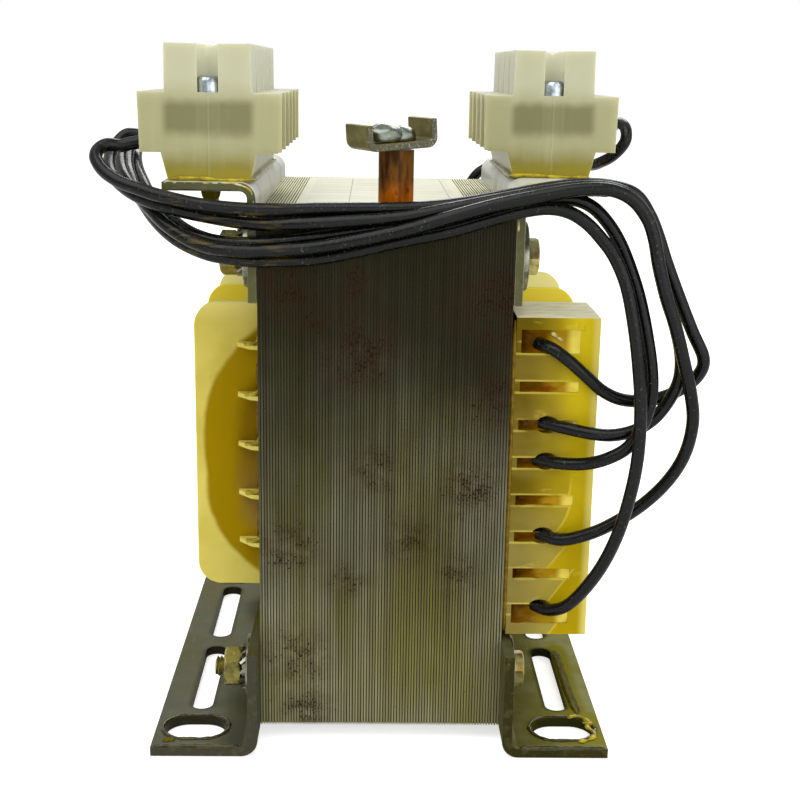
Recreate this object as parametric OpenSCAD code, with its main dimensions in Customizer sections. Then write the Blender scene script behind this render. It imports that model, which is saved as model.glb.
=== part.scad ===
// Control transformer on two slotted feet, with a terminal strip along each
// side.  The core stands upright: its laminations lie in the YZ plane and are
// stacked along X, the coil axis runs along Y, and the feet rest on z = 0.
// +X is the right side, +Y the back, +Z up.

/* [Core] */
// height of the core (6 lamination units)
core_h = 96; // [72:1:120]
// thickness of the lamination stack
stack_w = 45; // [30:0.5:70]
// diameter of the clamp bolts
bolt_d = 4; // [3:0.5:6]

/* [Feet] */
// thickness of the foot plate
foot_t = 1.8; // [1:0.1:3]
// length of each foot, front to back
foot_len = 94; // [86:1:120]
// distance from the middle to the outer edge of a foot
foot_reach = 42.2; // [38:0.1:60]
// height of the upright side of a foot
foot_h = 20; // [16:0.5:26]
// gap between the floor and the underside of the core
core_lift = 3; // [2:0.1:8]
// length of the slots across the ends of a foot
end_slot_len = 11.4; // [9:0.1:13]
// width of the slots across the ends of a foot
end_slot_w = 8.4; // [5:0.1:8.8]
// length of the slots along a foot
side_slot_len = 29; // [10:1:30]
// width of the slots along a foot
side_slot_w = 4.2; // [3:0.1:6]

/* [Coil] */
// height of the three bobbin flanges
flange_h = 59.4; // [50:0.2:61]
// distance from the middle to the left edge of a flange
flange_left = 35.8; // [32:0.1:38]
// distance from the middle to the right edge of a flange
flange_right = 39.2; // [36:0.1:41]
// thickness of a flange
flange_t = 1.6; // [1:0.1:2.5]
// distance from the middle to the side of the winding
coil_reach = 33.6; // [28:0.2:35]
// number of pale blocks in the front lead comb
comb_blocks = 7; // [5:1:7]
// number of pale blocks in the rear lead comb
rear_comb_blocks = 5; // [3:1:7]

/* [Terminal strips] */
// thickness of the bracket under a strip
bracket_t = 1.5; // [1:0.1:2.5]
// distance from the middle to the outer edge of a bracket
bracket_reach = 38.5; // [36:0.5:42]
// distance between neighbouring terminals
pole_pitch = 10.7; // [9.6:0.1:12]
// terminals on the left strip
left_poles = 5; // [2:1:6]
// terminals on the right strip
right_poles = 4; // [2:1:5]
// front end of the left strip
left_strip_y = -38; // [-39:0.5:-30]
// front end of the right strip
right_strip_y = -20; // [-30:0.5:-14]

/* [Earth post] */
// diameter of the post on top of the core
post_d = 6.2; // [4:0.1:7]
// height of the post
post_h = 10.6; // [8:0.1:14]
// length of the lug on the post
lug_len = 9.4; // [7:0.1:11]

/* [Leads] */
// outside diameter of the insulated leads
lead_d = 2.3; // [1.6:0.1:2.6]

/* [Hidden] */
$fn = 48;
eps = 0.01;

// core: E and I laminations, in units of one sixth of the height
u = core_h / 6;
core_d = 5 * u;
front = -core_d / 2;
core_top = core_lift + core_h;
mid_z = core_lift + core_h / 2;
half_w = stack_w / 2;
bolt_y = core_d / 2 - u / 2;
bolt_low = core_lift + u / 2;
bolt_high = core_top - u / 2;
bolt_hole_d = bolt_d + 0.4;

// bobbin tube around the middle limb
tube_gap = 0.3;
tube_wall = 1.3;
tube_x = half_w + tube_gap + tube_wall;
tube_z = u + tube_gap + tube_wall;
tube_y = 1.5 * u - 0.1;
flange_y = tube_y - 1.4;
flange_r = 4.5;
flange_low_cut = 3;
flange_top_cut = 0.3;
rib_pitch = 9.7;
rib_mid_z = mid_z + 2.1;
rib_t = 0.8;
rib_len = 5.1;
rib_depth = 4.4;
coil_r = 24;
coil_h = flange_h - 2.6;

// lead combs beside the front and the back of the core
comb_in = half_w + 0.7;
comb_out = flange_right - 1.1;
comb_depth = -front - flange_y - 0.6;
comb_block_out = comb_out - 3.5;
comb_bar = 2.2;
comb_spare = 0.78;
full_blocks = 7; // in a comb as high as the flanges
comb_pitch = (flange_h - 2 * comb_bar) / (full_blocks + comb_spare);
comb_gap = 1.9;
comb_rise = 0.5;

// feet
foot_top_x = half_w + foot_t;
slot_x = (foot_top_x + foot_reach) / 2 + 1.5;
end_slot_y = foot_len / 2 - 8;
side_slot_y = (side_slot_len + 5.2) / 2;
bend_in = 1.3;

// brackets
bracket_z = core_top + 5;
bracket_low = bolt_high - 7.8;
bracket_x = half_w + bracket_t;

// terminal strips: profile in (outwards, up) from the middle of the base
strip_x = 30.6;
strip_reach = 12;
strip_top = 23;
band_z = 4.8;
tower_u = 7.4;
tower_z = 14.9;
strip_half = [
    [7, 0], [8.2, band_z], [strip_reach - 0.2, band_z],
    [strip_reach, tower_z], [tower_u, tower_z],
    [tower_u - 0.1, strip_top], [1.2, strip_top - 0.1]];
cage_u = 4.5;
cage_w = 5.6;
cage_l = 5.2;
cage_z0 = 8.2;
cage_z1 = 13.2;
well_d = 4.2;
wire_z = 6.5;
wire_d = lead_d + 0.4;
entry_d = 4.2;
mount_screw_v = 2.3;
mount_head_d = 4.4;
mount_head_h = 2.7;
term_head_d = 4;
term_head_h = 2.2;

// hardware
washer_d = 3.1 * bolt_d;
washer_t = 1.2;
toothed_d = 2.1 * bolt_d;
toothed_t = 1.1;
nut_af = 1.75 * bolt_d;
nut_t = 0.8 * bolt_d;
nut_turn = 30;
head_af = 1.55 * bolt_d;
head_t = 0.53 * bolt_d;
low_head_turn = -15;
bolt_end = 1.8;

// lug on the earth post
post_x = 1.6;
post_y = -34;
lug_w = 13.3;
lug_shift = -0.85;
lug_h = 4.9;
lug_wall = 1.2;
lug_wall_cut = 0.4;
lug_r = 1.8;
lug_turn = 24;
lug_tilt = -4;

// leads: middle-line points from the comb to the terminal
lead_sides = 8;
lead_1 = [
    [27.2, -37.6, 76.2], [29.5, -40.1, 75.8], [32.5, -41.3, 73.8],
    [35.8, -41.2, 70.9], [38.7, -40.8, 68.4], [41.9, -40.6, 66.9],
    [45.7, -40.6, 66.6], [49.6, -41, 67.5], [52.9, -41.6, 69.4],
    [55.2, -42.2, 71.8], [55.8, -42.6, 74.9], [53.5, -42.5, 79.7],
    [51.1, -42.2, 85.1], [48.5, -41.8, 91.3], [46.8, -41.5, 95.9],
    [45.1, -41.3, 99.6], [42.5, -41.2, 103], [38.3, -41.2, 104.4],
    [33, -41.2, 104.6], [26.9, -41.2, 103.8], [19.2, -41.2, 102.3],
    [10.7, -41.2, 100.8], [2.2, -41.2, 100.1], [-11.1, -41.7, 99.9],
    [-21.6, -42.6, 99.7], [-30.9, -43.2, 100.4], [-38.3, -43.2, 101.9],
    [-42.1, -42.6, 103], [-45.5, -41, 104], [-48.4, -39, 105.6],
    [-50.1, -36.6, 107.5], [-50, -34.8, 108.9], [-48.6, -33.6, 109.7],
    [-46.5, -32.9, 109.5], [-44.8, -32.65, 109.9], [-41.4, -32.65, 110.5]];
lead_2 = [
    [28.4, -38, 61.7], [32.2, -41, 61.6], [36.5, -42.7, 61.1],
    [40.5, -43.4, 61], [44.5, -43.4, 62], [47.7, -43.4, 64.2],
    [50, -43.5, 67.5], [51.4, -44, 71.2], [51.4, -44.3, 75.6],
    [50, -44.5, 80.9], [48.1, -44.5, 85.9], [46.5, -44.3, 91.4],
    [45.6, -44, 95.7], [44.2, -43.8, 99.3], [41.6, -43.6, 102.7],
    [37.7, -43.6, 104.3], [32.5, -43.6, 104.4], [26.6, -43.6, 103.6],
    [19, -43.6, 102.1], [10.6, -43.6, 100.4], [2.2, -43.6, 98.8],
    [-11, -43.2, 97.7], [-21.6, -42, 97.2], [-30.2, -41.3, 98.2],
    [-37.3, -41.1, 99.7], [-41.6, -40.4, 101.1], [-44.4, -38.8, 102.3],
    [-46.9, -36, 103.8], [-48.5, -32.4, 105.1], [-49.3, -29, 106.5],
    [-49.4, -26, 108], [-48.7, -23.6, 109.5], [-47.2, -22.3, 110.9],
    [-44.6, -21.95, 110.8], [-41.4, -21.95, 110.5]];
lead_3 = [
    [27.6, -38, 54.9], [31.6, -41.3, 55.1], [35.9, -43.5, 55.7],
    [39.4, -45.5, 57.3], [42.7, -46.2, 59.6], [44.9, -46.2, 63.3],
    [46.2, -46.2, 68.1], [46.1, -46.1, 73.1], [45, -45.7, 79.3],
    [43.5, -45.1, 85.5], [42, -44.4, 90], [40, -43.6, 94.7],
    [37.7, -43, 98.3], [34.9, -42.5, 101], [31.4, -42.4, 102.2],
    [26.9, -42, 101.5], [19.3, -41.2, 99.7], [10.8, -41.2, 98.3],
    [2.2, -41.2, 97.3], [-11.1, -41.2, 95.2], [-21.7, -41.2, 93.9],
    [-28.2, -41.1, 94], [-31.6, -40.4, 94.6], [-34.3, -38.8, 95.5],
    [-36.6, -36.2, 96.5], [-39, -32.6, 97.8], [-41.2, -28, 99],
    [-43.5, -22.6, 100.4], [-45.5, -16.6, 102.1], [-47.5, -10, 103.8],
    [-49, -3, 105.6], [-49.7, 3.4, 107.3], [-49.4, 8, 108.6],
    [-45.4, 9.9, 110.2], [-41.4, 10.15, 110.5]];
lead_4 = [
    [28.7, -38, 40.7], [32, -40.9, 40.5], [35.9, -42.4, 41.7],
    [40.3, -43.7, 44.1], [45.8, -44.8, 48.3], [50.1, -45.5, 53.1],
    [52.8, -45.9, 58.2], [53.8, -46.2, 63.9], [53.1, -46.6, 69],
    [51.4, -46.8, 75.1], [49.6, -46.9, 81], [47.7, -46.9, 86.2],
    [46.1, -46.8, 91.6], [45.1, -46.5, 96], [43.8, -46.2, 99.4],
    [41.1, -46, 102.6], [37.3, -46, 104.2], [32.1, -46, 104.2],
    [26.3, -46, 103.2], [18.8, -46, 101.6], [11.3, -46, 99.5],
    [2.2, -45.4, 96.7], [-11, -43.8, 93.8], [-21.5, -43.6, 92.8],
    [-28, -43.5, 93], [-31.4, -43.2, 93.6], [-34.5, -42.6, 94.9],
    [-37.9, -41, 96.9], [-40.9, -37.8, 99.1], [-43.5, -34, 100.9],
    [-45.9, -29.6, 102.7], [-47.9, -24.4, 104.5], [-49.1, -19.4, 106.4],
    [-49.4, -15, 108.1], [-48.5, -12.4, 109.6], [-45.8, -11.3, 110.4],
    [-41.4, -11.25, 110.5]];
lead_5 = [
    [28.4, -38, 26.6], [31.1, -40.8, 26.7], [34.5, -43.5, 29.3],
    [38.5, -46.2, 36.1], [41.2, -48, 43.4], [43, -48.7, 51.1],
    [44, -48.9, 58.9], [44, -48.7, 67.3], [43.3, -48.4, 74.3],
    [42.2, -48, 81.3], [40.7, -47.2, 88], [38.6, -46.4, 92.8],
    [36.3, -45.6, 95.9], [33.7, -45, 98.5], [30.8, -44.6, 100.2],
    [27.5, -44.3, 100.8], [23.5, -44, 100.3], [17.4, -43.6, 98.6],
    [10.7, -43.6, 96.6], [2.2, -43, 94.7], [-11.1, -41.5, 91.5],
    [-21.8, -41.2, 90.8], [-28.6, -41.2, 91.4], [-32, -41.2, 92.3],
    [-35.3, -40.4, 93.7], [-38.1, -38.4, 95.3], [-40.6, -35, 97],
    [-42.9, -30.4, 98.8], [-45.2, -25, 100.6], [-47.1, -19.2, 102.4],
    [-48.7, -13.4, 104.2], [-49.7, -8, 106.1], [-49.8, -3.8, 107.8],
    [-47.4, -1.2, 109.2], [-44.8, -0.6, 110.4], [-41.4, -0.55, 110.5]];
rear_lead_1 = [
    [28.4, 38, 54.6], [30.8, 40.6, 55.2], [31, 42.7, 57.6], [29.3, 44.2, 61.8],
    [27.6, 45, 68], [26.4, 45.2, 76], [26.6, 45.2, 84], [28.4, 45.1, 91],
    [32.2, 44.6, 96.6], [37, 43.2, 100.6], [41, 39.6, 102.9],
    [42.5, 33, 104], [42.4, 25, 104.4], [42.3, 16, 104.5],
    [42.4, 8, 104.6], [43.5, 3, 105.5], [45.5, -1, 107.3],
    [47.3, -2.7, 110], [47.6, -1.2, 112.4], [46.9, 1.8, 113.5],
    [45.9, 4.8, 112.6], [44.3, 6.5, 110.9], [41.4, 6.75, 110.5]];
rear_lead_2 = [
    [27.6, 37.8, 62.4], [28.2, 40.4, 62.8], [26.8, 42.5, 65.4],
    [23.6, 43.8, 70.4], [20.8, 44.2, 77], [19.3, 44.2, 84],
    [18.8, 44.2, 90.5], [19.6, 44.1, 96], [21.7, 43.8, 99.8],
    [25, 43.4, 101.9], [29.4, 43.1, 103.6], [34.2, 42.2, 105.3],
    [39, 39.6, 106.5], [43.4, 34.8, 107.4], [46, 28, 108.4],
    [46.6, 22.4, 109.8], [45.2, 18.4, 110.7], [41.4, 17.45, 110.5]];
// where a front lead crosses its comb: height above the floor
front_lead_z = [76.2, 61.7, 54.9, 40.7, 26.6];
rear_lead_z = [54.6, 62.4];

// colours of the preview
steel = [0.42, 0.42, 0.36];
zinc = [0.42, 0.42, 0.33];
light_zinc = [0.74, 0.75, 0.7];
nylon = [0.8, 0.72, 0.2];
copper = [0.6, 0.36, 0.05];
milky = [0.82, 0.82, 0.72];
brass = [0.55, 0.47, 0.2];
black = [0.06, 0.06, 0.06];

// ---------------------------------------------------------------- helpers

// box given by its two corners
module box(a, b) {
    translate(a) cube(b - a);
}

// cylinder along X, from x0 to x1
module rod_x(x0, x1, y, z, d) {
    translate([x0, y, z]) rotate([0, 90, 0]) cylinder(h = x1 - x0, d = d);
}

// slab across Y with rounded corners in the XZ plane
module rounded_slab(x0, x1, y0, y1, z0, z1, r) {
    box([x0 + r, y0, z0], [x1 - r, y1, z1]);
    box([x0, y0, z0 + r], [x1, y1, z1 - r]);
    for (x = [x0 + r, x1 - r], z = [z0 + r, z1 - r])
        translate([x, y1, z]) rotate([90, 0, 0])
            cylinder(h = y1 - y0, r = r);
}

// slot cut through a plate lying in the XY plane
module slot_cut(x, y, len, wid, z0, z1, along_x) {
    e = (len - wid) / 2;
    ex = along_x ? e : 0;
    ey = along_x ? 0 : e;
    for (s = [-1, 1])
        translate([x + s * ex, y + s * ey, z0])
            cylinder(h = z1 - z0, d = wid);
    box([x - max(ex, wid / 2 * (along_x ? 0 : 1)),
         y - max(ey, wid / 2 * (along_x ? 1 : 0)), z0],
        [x + max(ex, wid / 2 * (along_x ? 0 : 1)),
         y + max(ey, wid / 2 * (along_x ? 1 : 0)), z1]);
}

// quarter of a bent strip, axis along Y at [x, z], for the quadrant qx, qz
module bend(x, z, r_in, t, len, qx, qz) {
    r = r_in + t;
    intersection() {
        translate([x, len / 2, z]) rotate([90, 0, 0])
            difference() {
                cylinder(h = len, r = r);
                translate([0, 0, -eps])
                    cylinder(h = len + 2 * eps, r = r_in);
            }
        box([qx > 0 ? x : x - r, -len / 2, qz > 0 ? z : z - r],
            [qx > 0 ? x + r : x, len / 2, qz > 0 ? z + r : z]);
    }
}

// mirror a right-hand piece to the left when wanted
module side(left) {
    mirror([left ? 1 : 0, 0, 0]) children();
}

// six-sided prism along X, turned from having a flat face forward
module hex_x(x0, x1, af, turn) {
    translate([x0, 0, 0]) rotate([turn, 0, 0]) rotate([0, 90, 0])
        cylinder(h = x1 - x0, d = af / cos(30), $fn = 6);
}

// all four places of the clamp bolts
module at_bolts(low = true, high = true) {
    for (y = [-bolt_y, bolt_y]) {
        if (low) translate([0, y, bolt_low]) children();
        if (high) translate([0, y, bolt_high]) children();
    }
}

// ------------------------------------------------------------------- core

module core_e_stack() {
    color(steel) difference() {
        box([-half_w, front, core_lift],
            [half_w, front + 4 * u, core_top]);
        for (z = [u, 4 * u])
            box([-half_w - 1, front + u, core_lift + z],
                [half_w + 1, front + 4 * u + 1, core_lift + z + u]);
        for (z = [bolt_low, bolt_high])
            rod_x(-half_w - 1, half_w + 1, -bolt_y, z, bolt_hole_d);
    }
}

module core_i_stack() {
    color(steel) difference() {
        box([-half_w, front + 4 * u, core_lift],
            [half_w, -front, core_top]);
        for (z = [bolt_low, bolt_high])
            rod_x(-half_w - 1, half_w + 1, bolt_y, z, bolt_hole_d);
    }
}

// ------------------------------------------------------------------- coil

module tube_solid(grow, y) {
    box([-tube_x - grow, -y, mid_z - tube_z - grow],
        [tube_x + grow, y, mid_z + tube_z + grow]);
}

module bobbin_tube() {
    color(nylon) difference() {
        tube_solid(0, tube_y);
        tube_solid(-tube_wall, tube_y + 1);
    }
}

// flange between y0 and y0 + flange_t, its left side a little shorter below
module flange(y0) {
    z0 = mid_z - flange_h / 2;
    z1 = mid_z + flange_h / 2 - flange_top_cut;
    difference() {
        union() {
            rounded_slab(-flange_left, 0, y0, y0 + flange_t,
                z0 + flange_low_cut, z1, flange_r);
            rounded_slab(-half_w, flange_right, y0, y0 + flange_t,
                z0, z1, flange_r);
        }
        tube_solid(0, tube_y + 1);
    }
}

// short wedge-shaped ribs beside the core, in front of the left side of a
// flange
module ribs() {
    difference() {
        translate([-half_w, -flange_y, 0])
            for (i = [-2:2])
                translate([0, 0, rib_mid_z + i * rib_pitch - rib_t / 2])
                    linear_extrude(height = rib_t)
                        polygon([[-0.8, 0], [-rib_len, 0], [-rib_len, -0.9],
                            [-rib_len / 2, 0.6 - rib_depth],
                            [-0.8, -rib_depth]]);
        tube_solid(0.1, tube_y + 0.1);
    }
}

module front_flange() {
    color(nylon) {
        flange(-flange_y);
        ribs();
    }
}

module middle_flange() {
    color(nylon) flange(-flange_t / 2);
}

module rear_flange() {
    color(nylon) {
        flange(flange_y - flange_t);
        mirror([0, 1, 0]) ribs();
    }
}

// comb in front of the front flange; the gaps hold the leads
module comb(lead_z, blocks) {
    z0 = mid_z - flange_h / 2;
    z1 = z0 + 2 * comb_bar + (blocks + comb_spare) * comb_pitch + comb_rise;
    y0 = -flange_y - comb_depth;
    y1 = -flange_y;
    // middle of the lowest gap between two blocks
    low_gap = z0 + comb_bar + comb_spare / 2 * comb_pitch + comb_pitch;
    difference() {
        box([comb_in, y0, z0], [comb_out, y1, z1]);
        tube_solid(0, tube_y + 0.1);
        // gaps between the blocks
        for (i = [0:blocks - 2])
            comb_cut(low_gap + i * comb_pitch - comb_gap / 2,
                low_gap + i * comb_pitch + comb_gap / 2);
        // wider gaps above and below the blocks
        comb_cut(low_gap + (blocks - 1) * comb_pitch - comb_gap / 2,
            z1 - comb_bar);
        comb_cut(z0 + comb_bar, low_gap - comb_pitch + comb_gap / 2);
        // a round mouth for each lead
        for (z = lead_z)
            translate([25.4, y0 + 4.4, z]) rotate([90, 0, 42])
                cylinder(h = 14, d = lead_d + 0.9);
    }
}

// gap of a comb from z0 to z1, closed at the flange
module comb_cut(z0, z1) {
    box([comb_in + 0.9, -flange_y - comb_depth - 1, z0],
        [comb_block_out, -flange_y - 2, z1]);
}

module front_lead_comb() {
    color(nylon) comb(front_lead_z, comb_blocks);
}

module rear_lead_comb() {
    color(nylon) mirror([0, 1, 0]) comb(rear_lead_z, rear_comb_blocks);
}

module winding(y0, y1) {
    difference() {
        rounded_slab(-coil_reach, coil_reach, y0, y1,
            mid_z - coil_h / 2, mid_z + coil_h / 2, coil_r);
        tube_solid(0.1, tube_y + 1);
    }
}

module front_winding() {
    color(copper) winding(-flange_y + flange_t + 0.1, -flange_t / 2 - 0.1);
}

module rear_winding() {
    color(copper) winding(flange_t / 2 + 0.1, flange_y - flange_t - 0.1);
}

// ------------------------------------------------------------------- feet

module foot() {
    r = bend_in + foot_t;
    l = foot_len / 2;
    difference() {
        union() {
            box([half_w, -l, r], [half_w + foot_t, l, foot_h]);
            box([half_w + r, -l, 0], [foot_reach, l, foot_t]);
            bend(half_w + r, r, bend_in, foot_t, foot_len, -1, -1);
        }
        for (y = [-bolt_y, bolt_y])
            rod_x(half_w - 1, half_w + foot_t + 1, y, bolt_low,
                bolt_hole_d);
        for (s = [-1, 1]) {
            slot_cut(slot_x, s * end_slot_y, end_slot_len, end_slot_w,
                -1, foot_t + 1, true);
            slot_cut(slot_x, s * side_slot_y, side_slot_len, side_slot_w,
                -1, foot_t + 1, false);
        }
    }
}

module left_foot() {
    color(zinc) side(true) foot();
}

module right_foot() {
    color(zinc) foot();
}

// --------------------------------------------------------------- brackets

module bracket(strip_y, poles) {
    r = bend_in + bracket_t;
    l = core_d / 2;
    difference() {
        union() {
            box([half_w, -l, bracket_low],
                [bracket_x, l, bracket_z - r]);
            box([half_w + r, -l, bracket_z - bracket_t],
                [bracket_reach, l, bracket_z]);
            bend(half_w + r, bracket_z - r, bend_in, bracket_t, core_d,
                -1, 1);
        }
        for (y = [-bolt_y, bolt_y])
            rod_x(half_w - 1, bracket_x + 1, y, bolt_high, bolt_hole_d);
        for (v = [mount_screw_v, poles * pole_pitch - mount_screw_v])
            translate([strip_x, strip_y + v, bracket_z - bracket_t - 1])
                cylinder(h = bracket_t + 2, d = 3.2);
    }
}

module left_terminal_bracket() {
    color(light_zinc) side(true) bracket(left_strip_y, left_poles);
}

module right_terminal_bracket() {
    color(light_zinc) bracket(right_strip_y, right_poles);
}

// --------------------------------------------------------- clamp hardware

function outer_x(low) = half_w + (low ? foot_t : bracket_t);

// one bolt, for a clamped plate ending at x = p on both sides
module bolt(p, turn) {
    rod_x(-p - washer_t - toothed_t - nut_t - bolt_end,
        p + washer_t, 0, 0, bolt_d);
    hex_x(p + washer_t, p + washer_t + head_t, head_af, turn);
}

module ring_x(x0, x1, d_out, d_in) {
    difference() {
        rod_x(x0, x1, 0, 0, d_out);
        rod_x(x0 - 1, x1 + 1, 0, 0, d_in);
    }
}

module clamp_bolts() {
    color(brass) {
        at_bolts(high = false) bolt(outer_x(true), low_head_turn);
        at_bolts(low = false) bolt(outer_x(false), 0);
    }
}

module nut(p) {
    x = p + washer_t + toothed_t;
    difference() {
        hex_x(-x - nut_t, -x, nut_af, nut_turn);
        rod_x(-x - nut_t - 1, -x + 1, 0, 0, bolt_d + 0.1);
    }
}

module clamp_nuts() {
    color(brass) {
        at_bolts(high = false) nut(outer_x(true));
        at_bolts(low = false) nut(outer_x(false));
    }
}

module washer_pair(p) {
    for (s = [-1, 1])
        ring_x(s > 0 ? p : -p - washer_t, s > 0 ? p + washer_t : -p,
            washer_d, bolt_d + 0.3);
}

module plain_washers() {
    color(zinc) {
        at_bolts(high = false) washer_pair(outer_x(true));
        at_bolts(low = false) washer_pair(outer_x(false));
    }
}

// lock washer with teeth round its edge
module toothed(p) {
    x = -p - washer_t;
    ring_x(x - toothed_t, x, toothed_d - 1, bolt_d + 0.3);
    for (a = [0:30:330])
        rotate([a, 0, 0])
            box([x - toothed_t, -0.6, bolt_d / 2 + 0.5],
                [x, 0.6, toothed_d / 2]);
}

module toothed_washers() {
    color(zinc) {
        at_bolts(high = false) toothed(outer_x(true));
        at_bolts(low = false) toothed(outer_x(false));
    }
}

// -------------------------------------------------------- terminal strips

// outline of a strip: one half, the dip between the towers, the other half
strip_profile = concat(strip_half, [[0, strip_top - 0.6]],
    [for (i = [len(strip_half) - 1:-1:0])
        [-strip_half[i][0], strip_half[i][1]]]);

// strip on the right side, its front end at y = 0, base at z = 0, middle
// of the base at x = 0, outer side towards +x
module block(poles) {
    len = poles * pole_pitch;
    difference() {
        union() {
            translate([0, len, 0]) rotate([90, 0, 0])
                linear_extrude(height = len) polygon(strip_profile);
            // ribs between the terminals on the inner side
            for (i = [0:poles])
                box([-strip_reach - 0.5, max(0, i * pole_pitch - 0.6),
                     band_z + 0.2],
                    [1 - strip_reach, min(len, i * pole_pitch + 0.6),
                     tower_z]);
        }
        // grooves between the terminals down both sides of the towers
        for (i = [1:poles - 1], s = [-1, 1])
            translate([s * (tower_u + 0.6), i * pole_pitch, tower_z])
                cylinder(h = strip_top, r = 1.4);
        for (i = [0:poles - 1])
            translate([0, (i + 0.5) * pole_pitch, 0]) {
                // pocket of the metal clamp
                clamp_shape(0.1);
                // screw wells from above, wire openings from the sides
                for (s = [-1, 1])
                    translate([s * cage_u, 0, cage_z1])
                        cylinder(h = 12, d = well_d);
                rod_x(cage_u, 14, 0, wire_z, wire_d);
                rod_x(-14, -cage_u, 0, (cage_z0 + cage_z1) / 2, entry_d);
            }
        // wells, channels and holes of the two mounting screws
        for (e = [0, 1]) {
            v = e == 0 ? mount_screw_v : len - mount_screw_v;
            translate([0, v, tower_z])
                cylinder(h = 10, d = mount_head_d + 0.4);
            translate([0, v, -1]) cylinder(h = 20, d = 3.2);
            box([-1.8, e == 0 ? -1 : v, tower_z],
                [1.8, e == 0 ? v : len + 1, strip_top + 1]);
        }
    }
}

// metal clamp of one terminal: two cages joined by a bar
module clamp_shape(g) {
    for (s = [-1, 1])
        box([s * cage_u - cage_w / 2 - g, -cage_l / 2 - g, cage_z0 - g],
            [s * cage_u + cage_w / 2 + g, cage_l / 2 + g, cage_z1 + g]);
    box([-cage_u, -1.2 - g, cage_z0 - g], [cage_u, 1.2 + g, cage_z0 + 1.4 + g]);
}

module strip_clamps(poles) {
    for (i = [0:poles - 1])
        translate([0, (i + 0.5) * pole_pitch, 0]) difference() {
            clamp_shape(0);
            for (s = [-1, 1])
                translate([s * cage_u, 0, cage_z1 - 3])
                    cylinder(h = 4, d = 2.7);
        }
}

module strip_screws(poles) {
    for (i = [0:poles - 1], s = [-1, 1])
        translate([s * cage_u, (i + 0.5) * pole_pitch, cage_z1]) {
            translate([0, 0, -2.8]) cylinder(h = 2.9, d = 2.6);
            difference() {
                cylinder(h = term_head_h, d = term_head_d);
                box([-3, -0.4, term_head_h - 0.9], [3, 0.4, 3]);
            }
        }
}

module mounting_screws(poles) {
    len = poles * pole_pitch;
    for (v = [mount_screw_v, len - mount_screw_v])
        translate([0, v, 0]) {
            translate([0, 0, -3.7]) cylinder(h = tower_z + 3.8, d = 3);
            translate([0, 0, tower_z]) difference() {
                cylinder(h = mount_head_h, d = mount_head_d);
                rotate([0, 0, 20])
                    box([-4, -0.4, mount_head_h - 1], [4, 0.4, 4]);
            }
        }
}

// put a strip part on the right or left bracket
module on_bracket(left) {
    side(left)
        translate([strip_x, left ? left_strip_y : right_strip_y, bracket_z])
            children();
}

module left_terminal_block() {
    color(milky) on_bracket(true) block(left_poles);
}

module right_terminal_block() {
    color(milky) on_bracket(false) block(right_poles);
}

module left_terminal_clamps() {
    color(brass) on_bracket(true) strip_clamps(left_poles);
}

module right_terminal_clamps() {
    color(brass) on_bracket(false) strip_clamps(right_poles);
}

module left_terminal_screws() {
    color(light_zinc) on_bracket(true) strip_screws(left_poles);
}

module right_terminal_screws() {
    color(light_zinc) on_bracket(false) strip_screws(right_poles);
}

module left_mounting_screws() {
    color(light_zinc) on_bracket(true) mounting_screws(left_poles);
}

module right_mounting_screws() {
    color(light_zinc) on_bracket(false) mounting_screws(right_poles);
}

// ------------------------------------------------------- top of the core

module nameplate() {
    color([0.9, 0.91, 0.8])
        box([-16.4, -28, core_top], [15.2, 33, core_top + 0.3]);
}

module earth_post() {
    color(copper) translate([post_x, post_y, core_top])
        cylinder(h = post_h, d = post_d);
}

// block along Y with its two lower edges rounded
module trough(w, len, h, r) {
    box([-w / 2, -len / 2, r], [w / 2, len / 2, h]);
    box([-w / 2 + r, -len / 2, 0], [w / 2 - r, len / 2, h]);
    for (s = [-1, 1])
        translate([s * (w / 2 - r), len / 2, r]) rotate([90, 0, 0])
            cylinder(h = len, r = r);
}

// U-shaped lug, open upwards, turned a little about the post, its left wall
// lower than the right one
module earth_lug() {
    color(brass) translate([post_x, post_y, core_top + post_h + 0.3])
        rotate([0, lug_tilt, lug_turn]) translate([lug_shift, 0, 0])
            difference() {
                trough(lug_w, lug_len, lug_h, lug_r);
                translate([0, 0, lug_wall])
                    trough(lug_w - 2 * lug_wall, lug_len + 2, lug_h,
                        lug_r - lug_wall);
                box([-lug_w / 2 - 1, -lug_len / 2 - 1, lug_h - lug_wall_cut],
                    [0, lug_len / 2 + 1, lug_h + 1]);
            }
}

// ------------------------------------------------------------------ leads

function unit(v) = v / norm(v);

// direction of the route at point i
function heading(p, i) =
    unit(p[min(i + 1, len(p) - 1)] - p[max(i - 1, 0)]);

// points of a Catmull-Rom curve through the route
function curve_point(a, b, c, d, t) =
    0.5 * ((2 * b) + (c - a) * t + (2 * a - 5 * b + 4 * c - d) * t * t
        + (3 * b - a - 3 * c + d) * t * t * t);

function smooth(p, k) = [
    for (i = [0:len(p) - 2], j = [0:k - 1])
        curve_point(p[max(i - 1, 0)], p[i], p[i + 1],
            p[min(i + 2, len(p) - 1)], j / k),
    p[len(p) - 1]];

// ring of points round the route, side vector carried from ring to ring
function next_side(s, h) = unit(s - (s * h) * h);

function sides_along(p, i, s) =
    i >= len(p) ? [] :
    let (n = next_side(s, heading(p, i)))
    concat([n], sides_along(p, i + 1, n));

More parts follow.
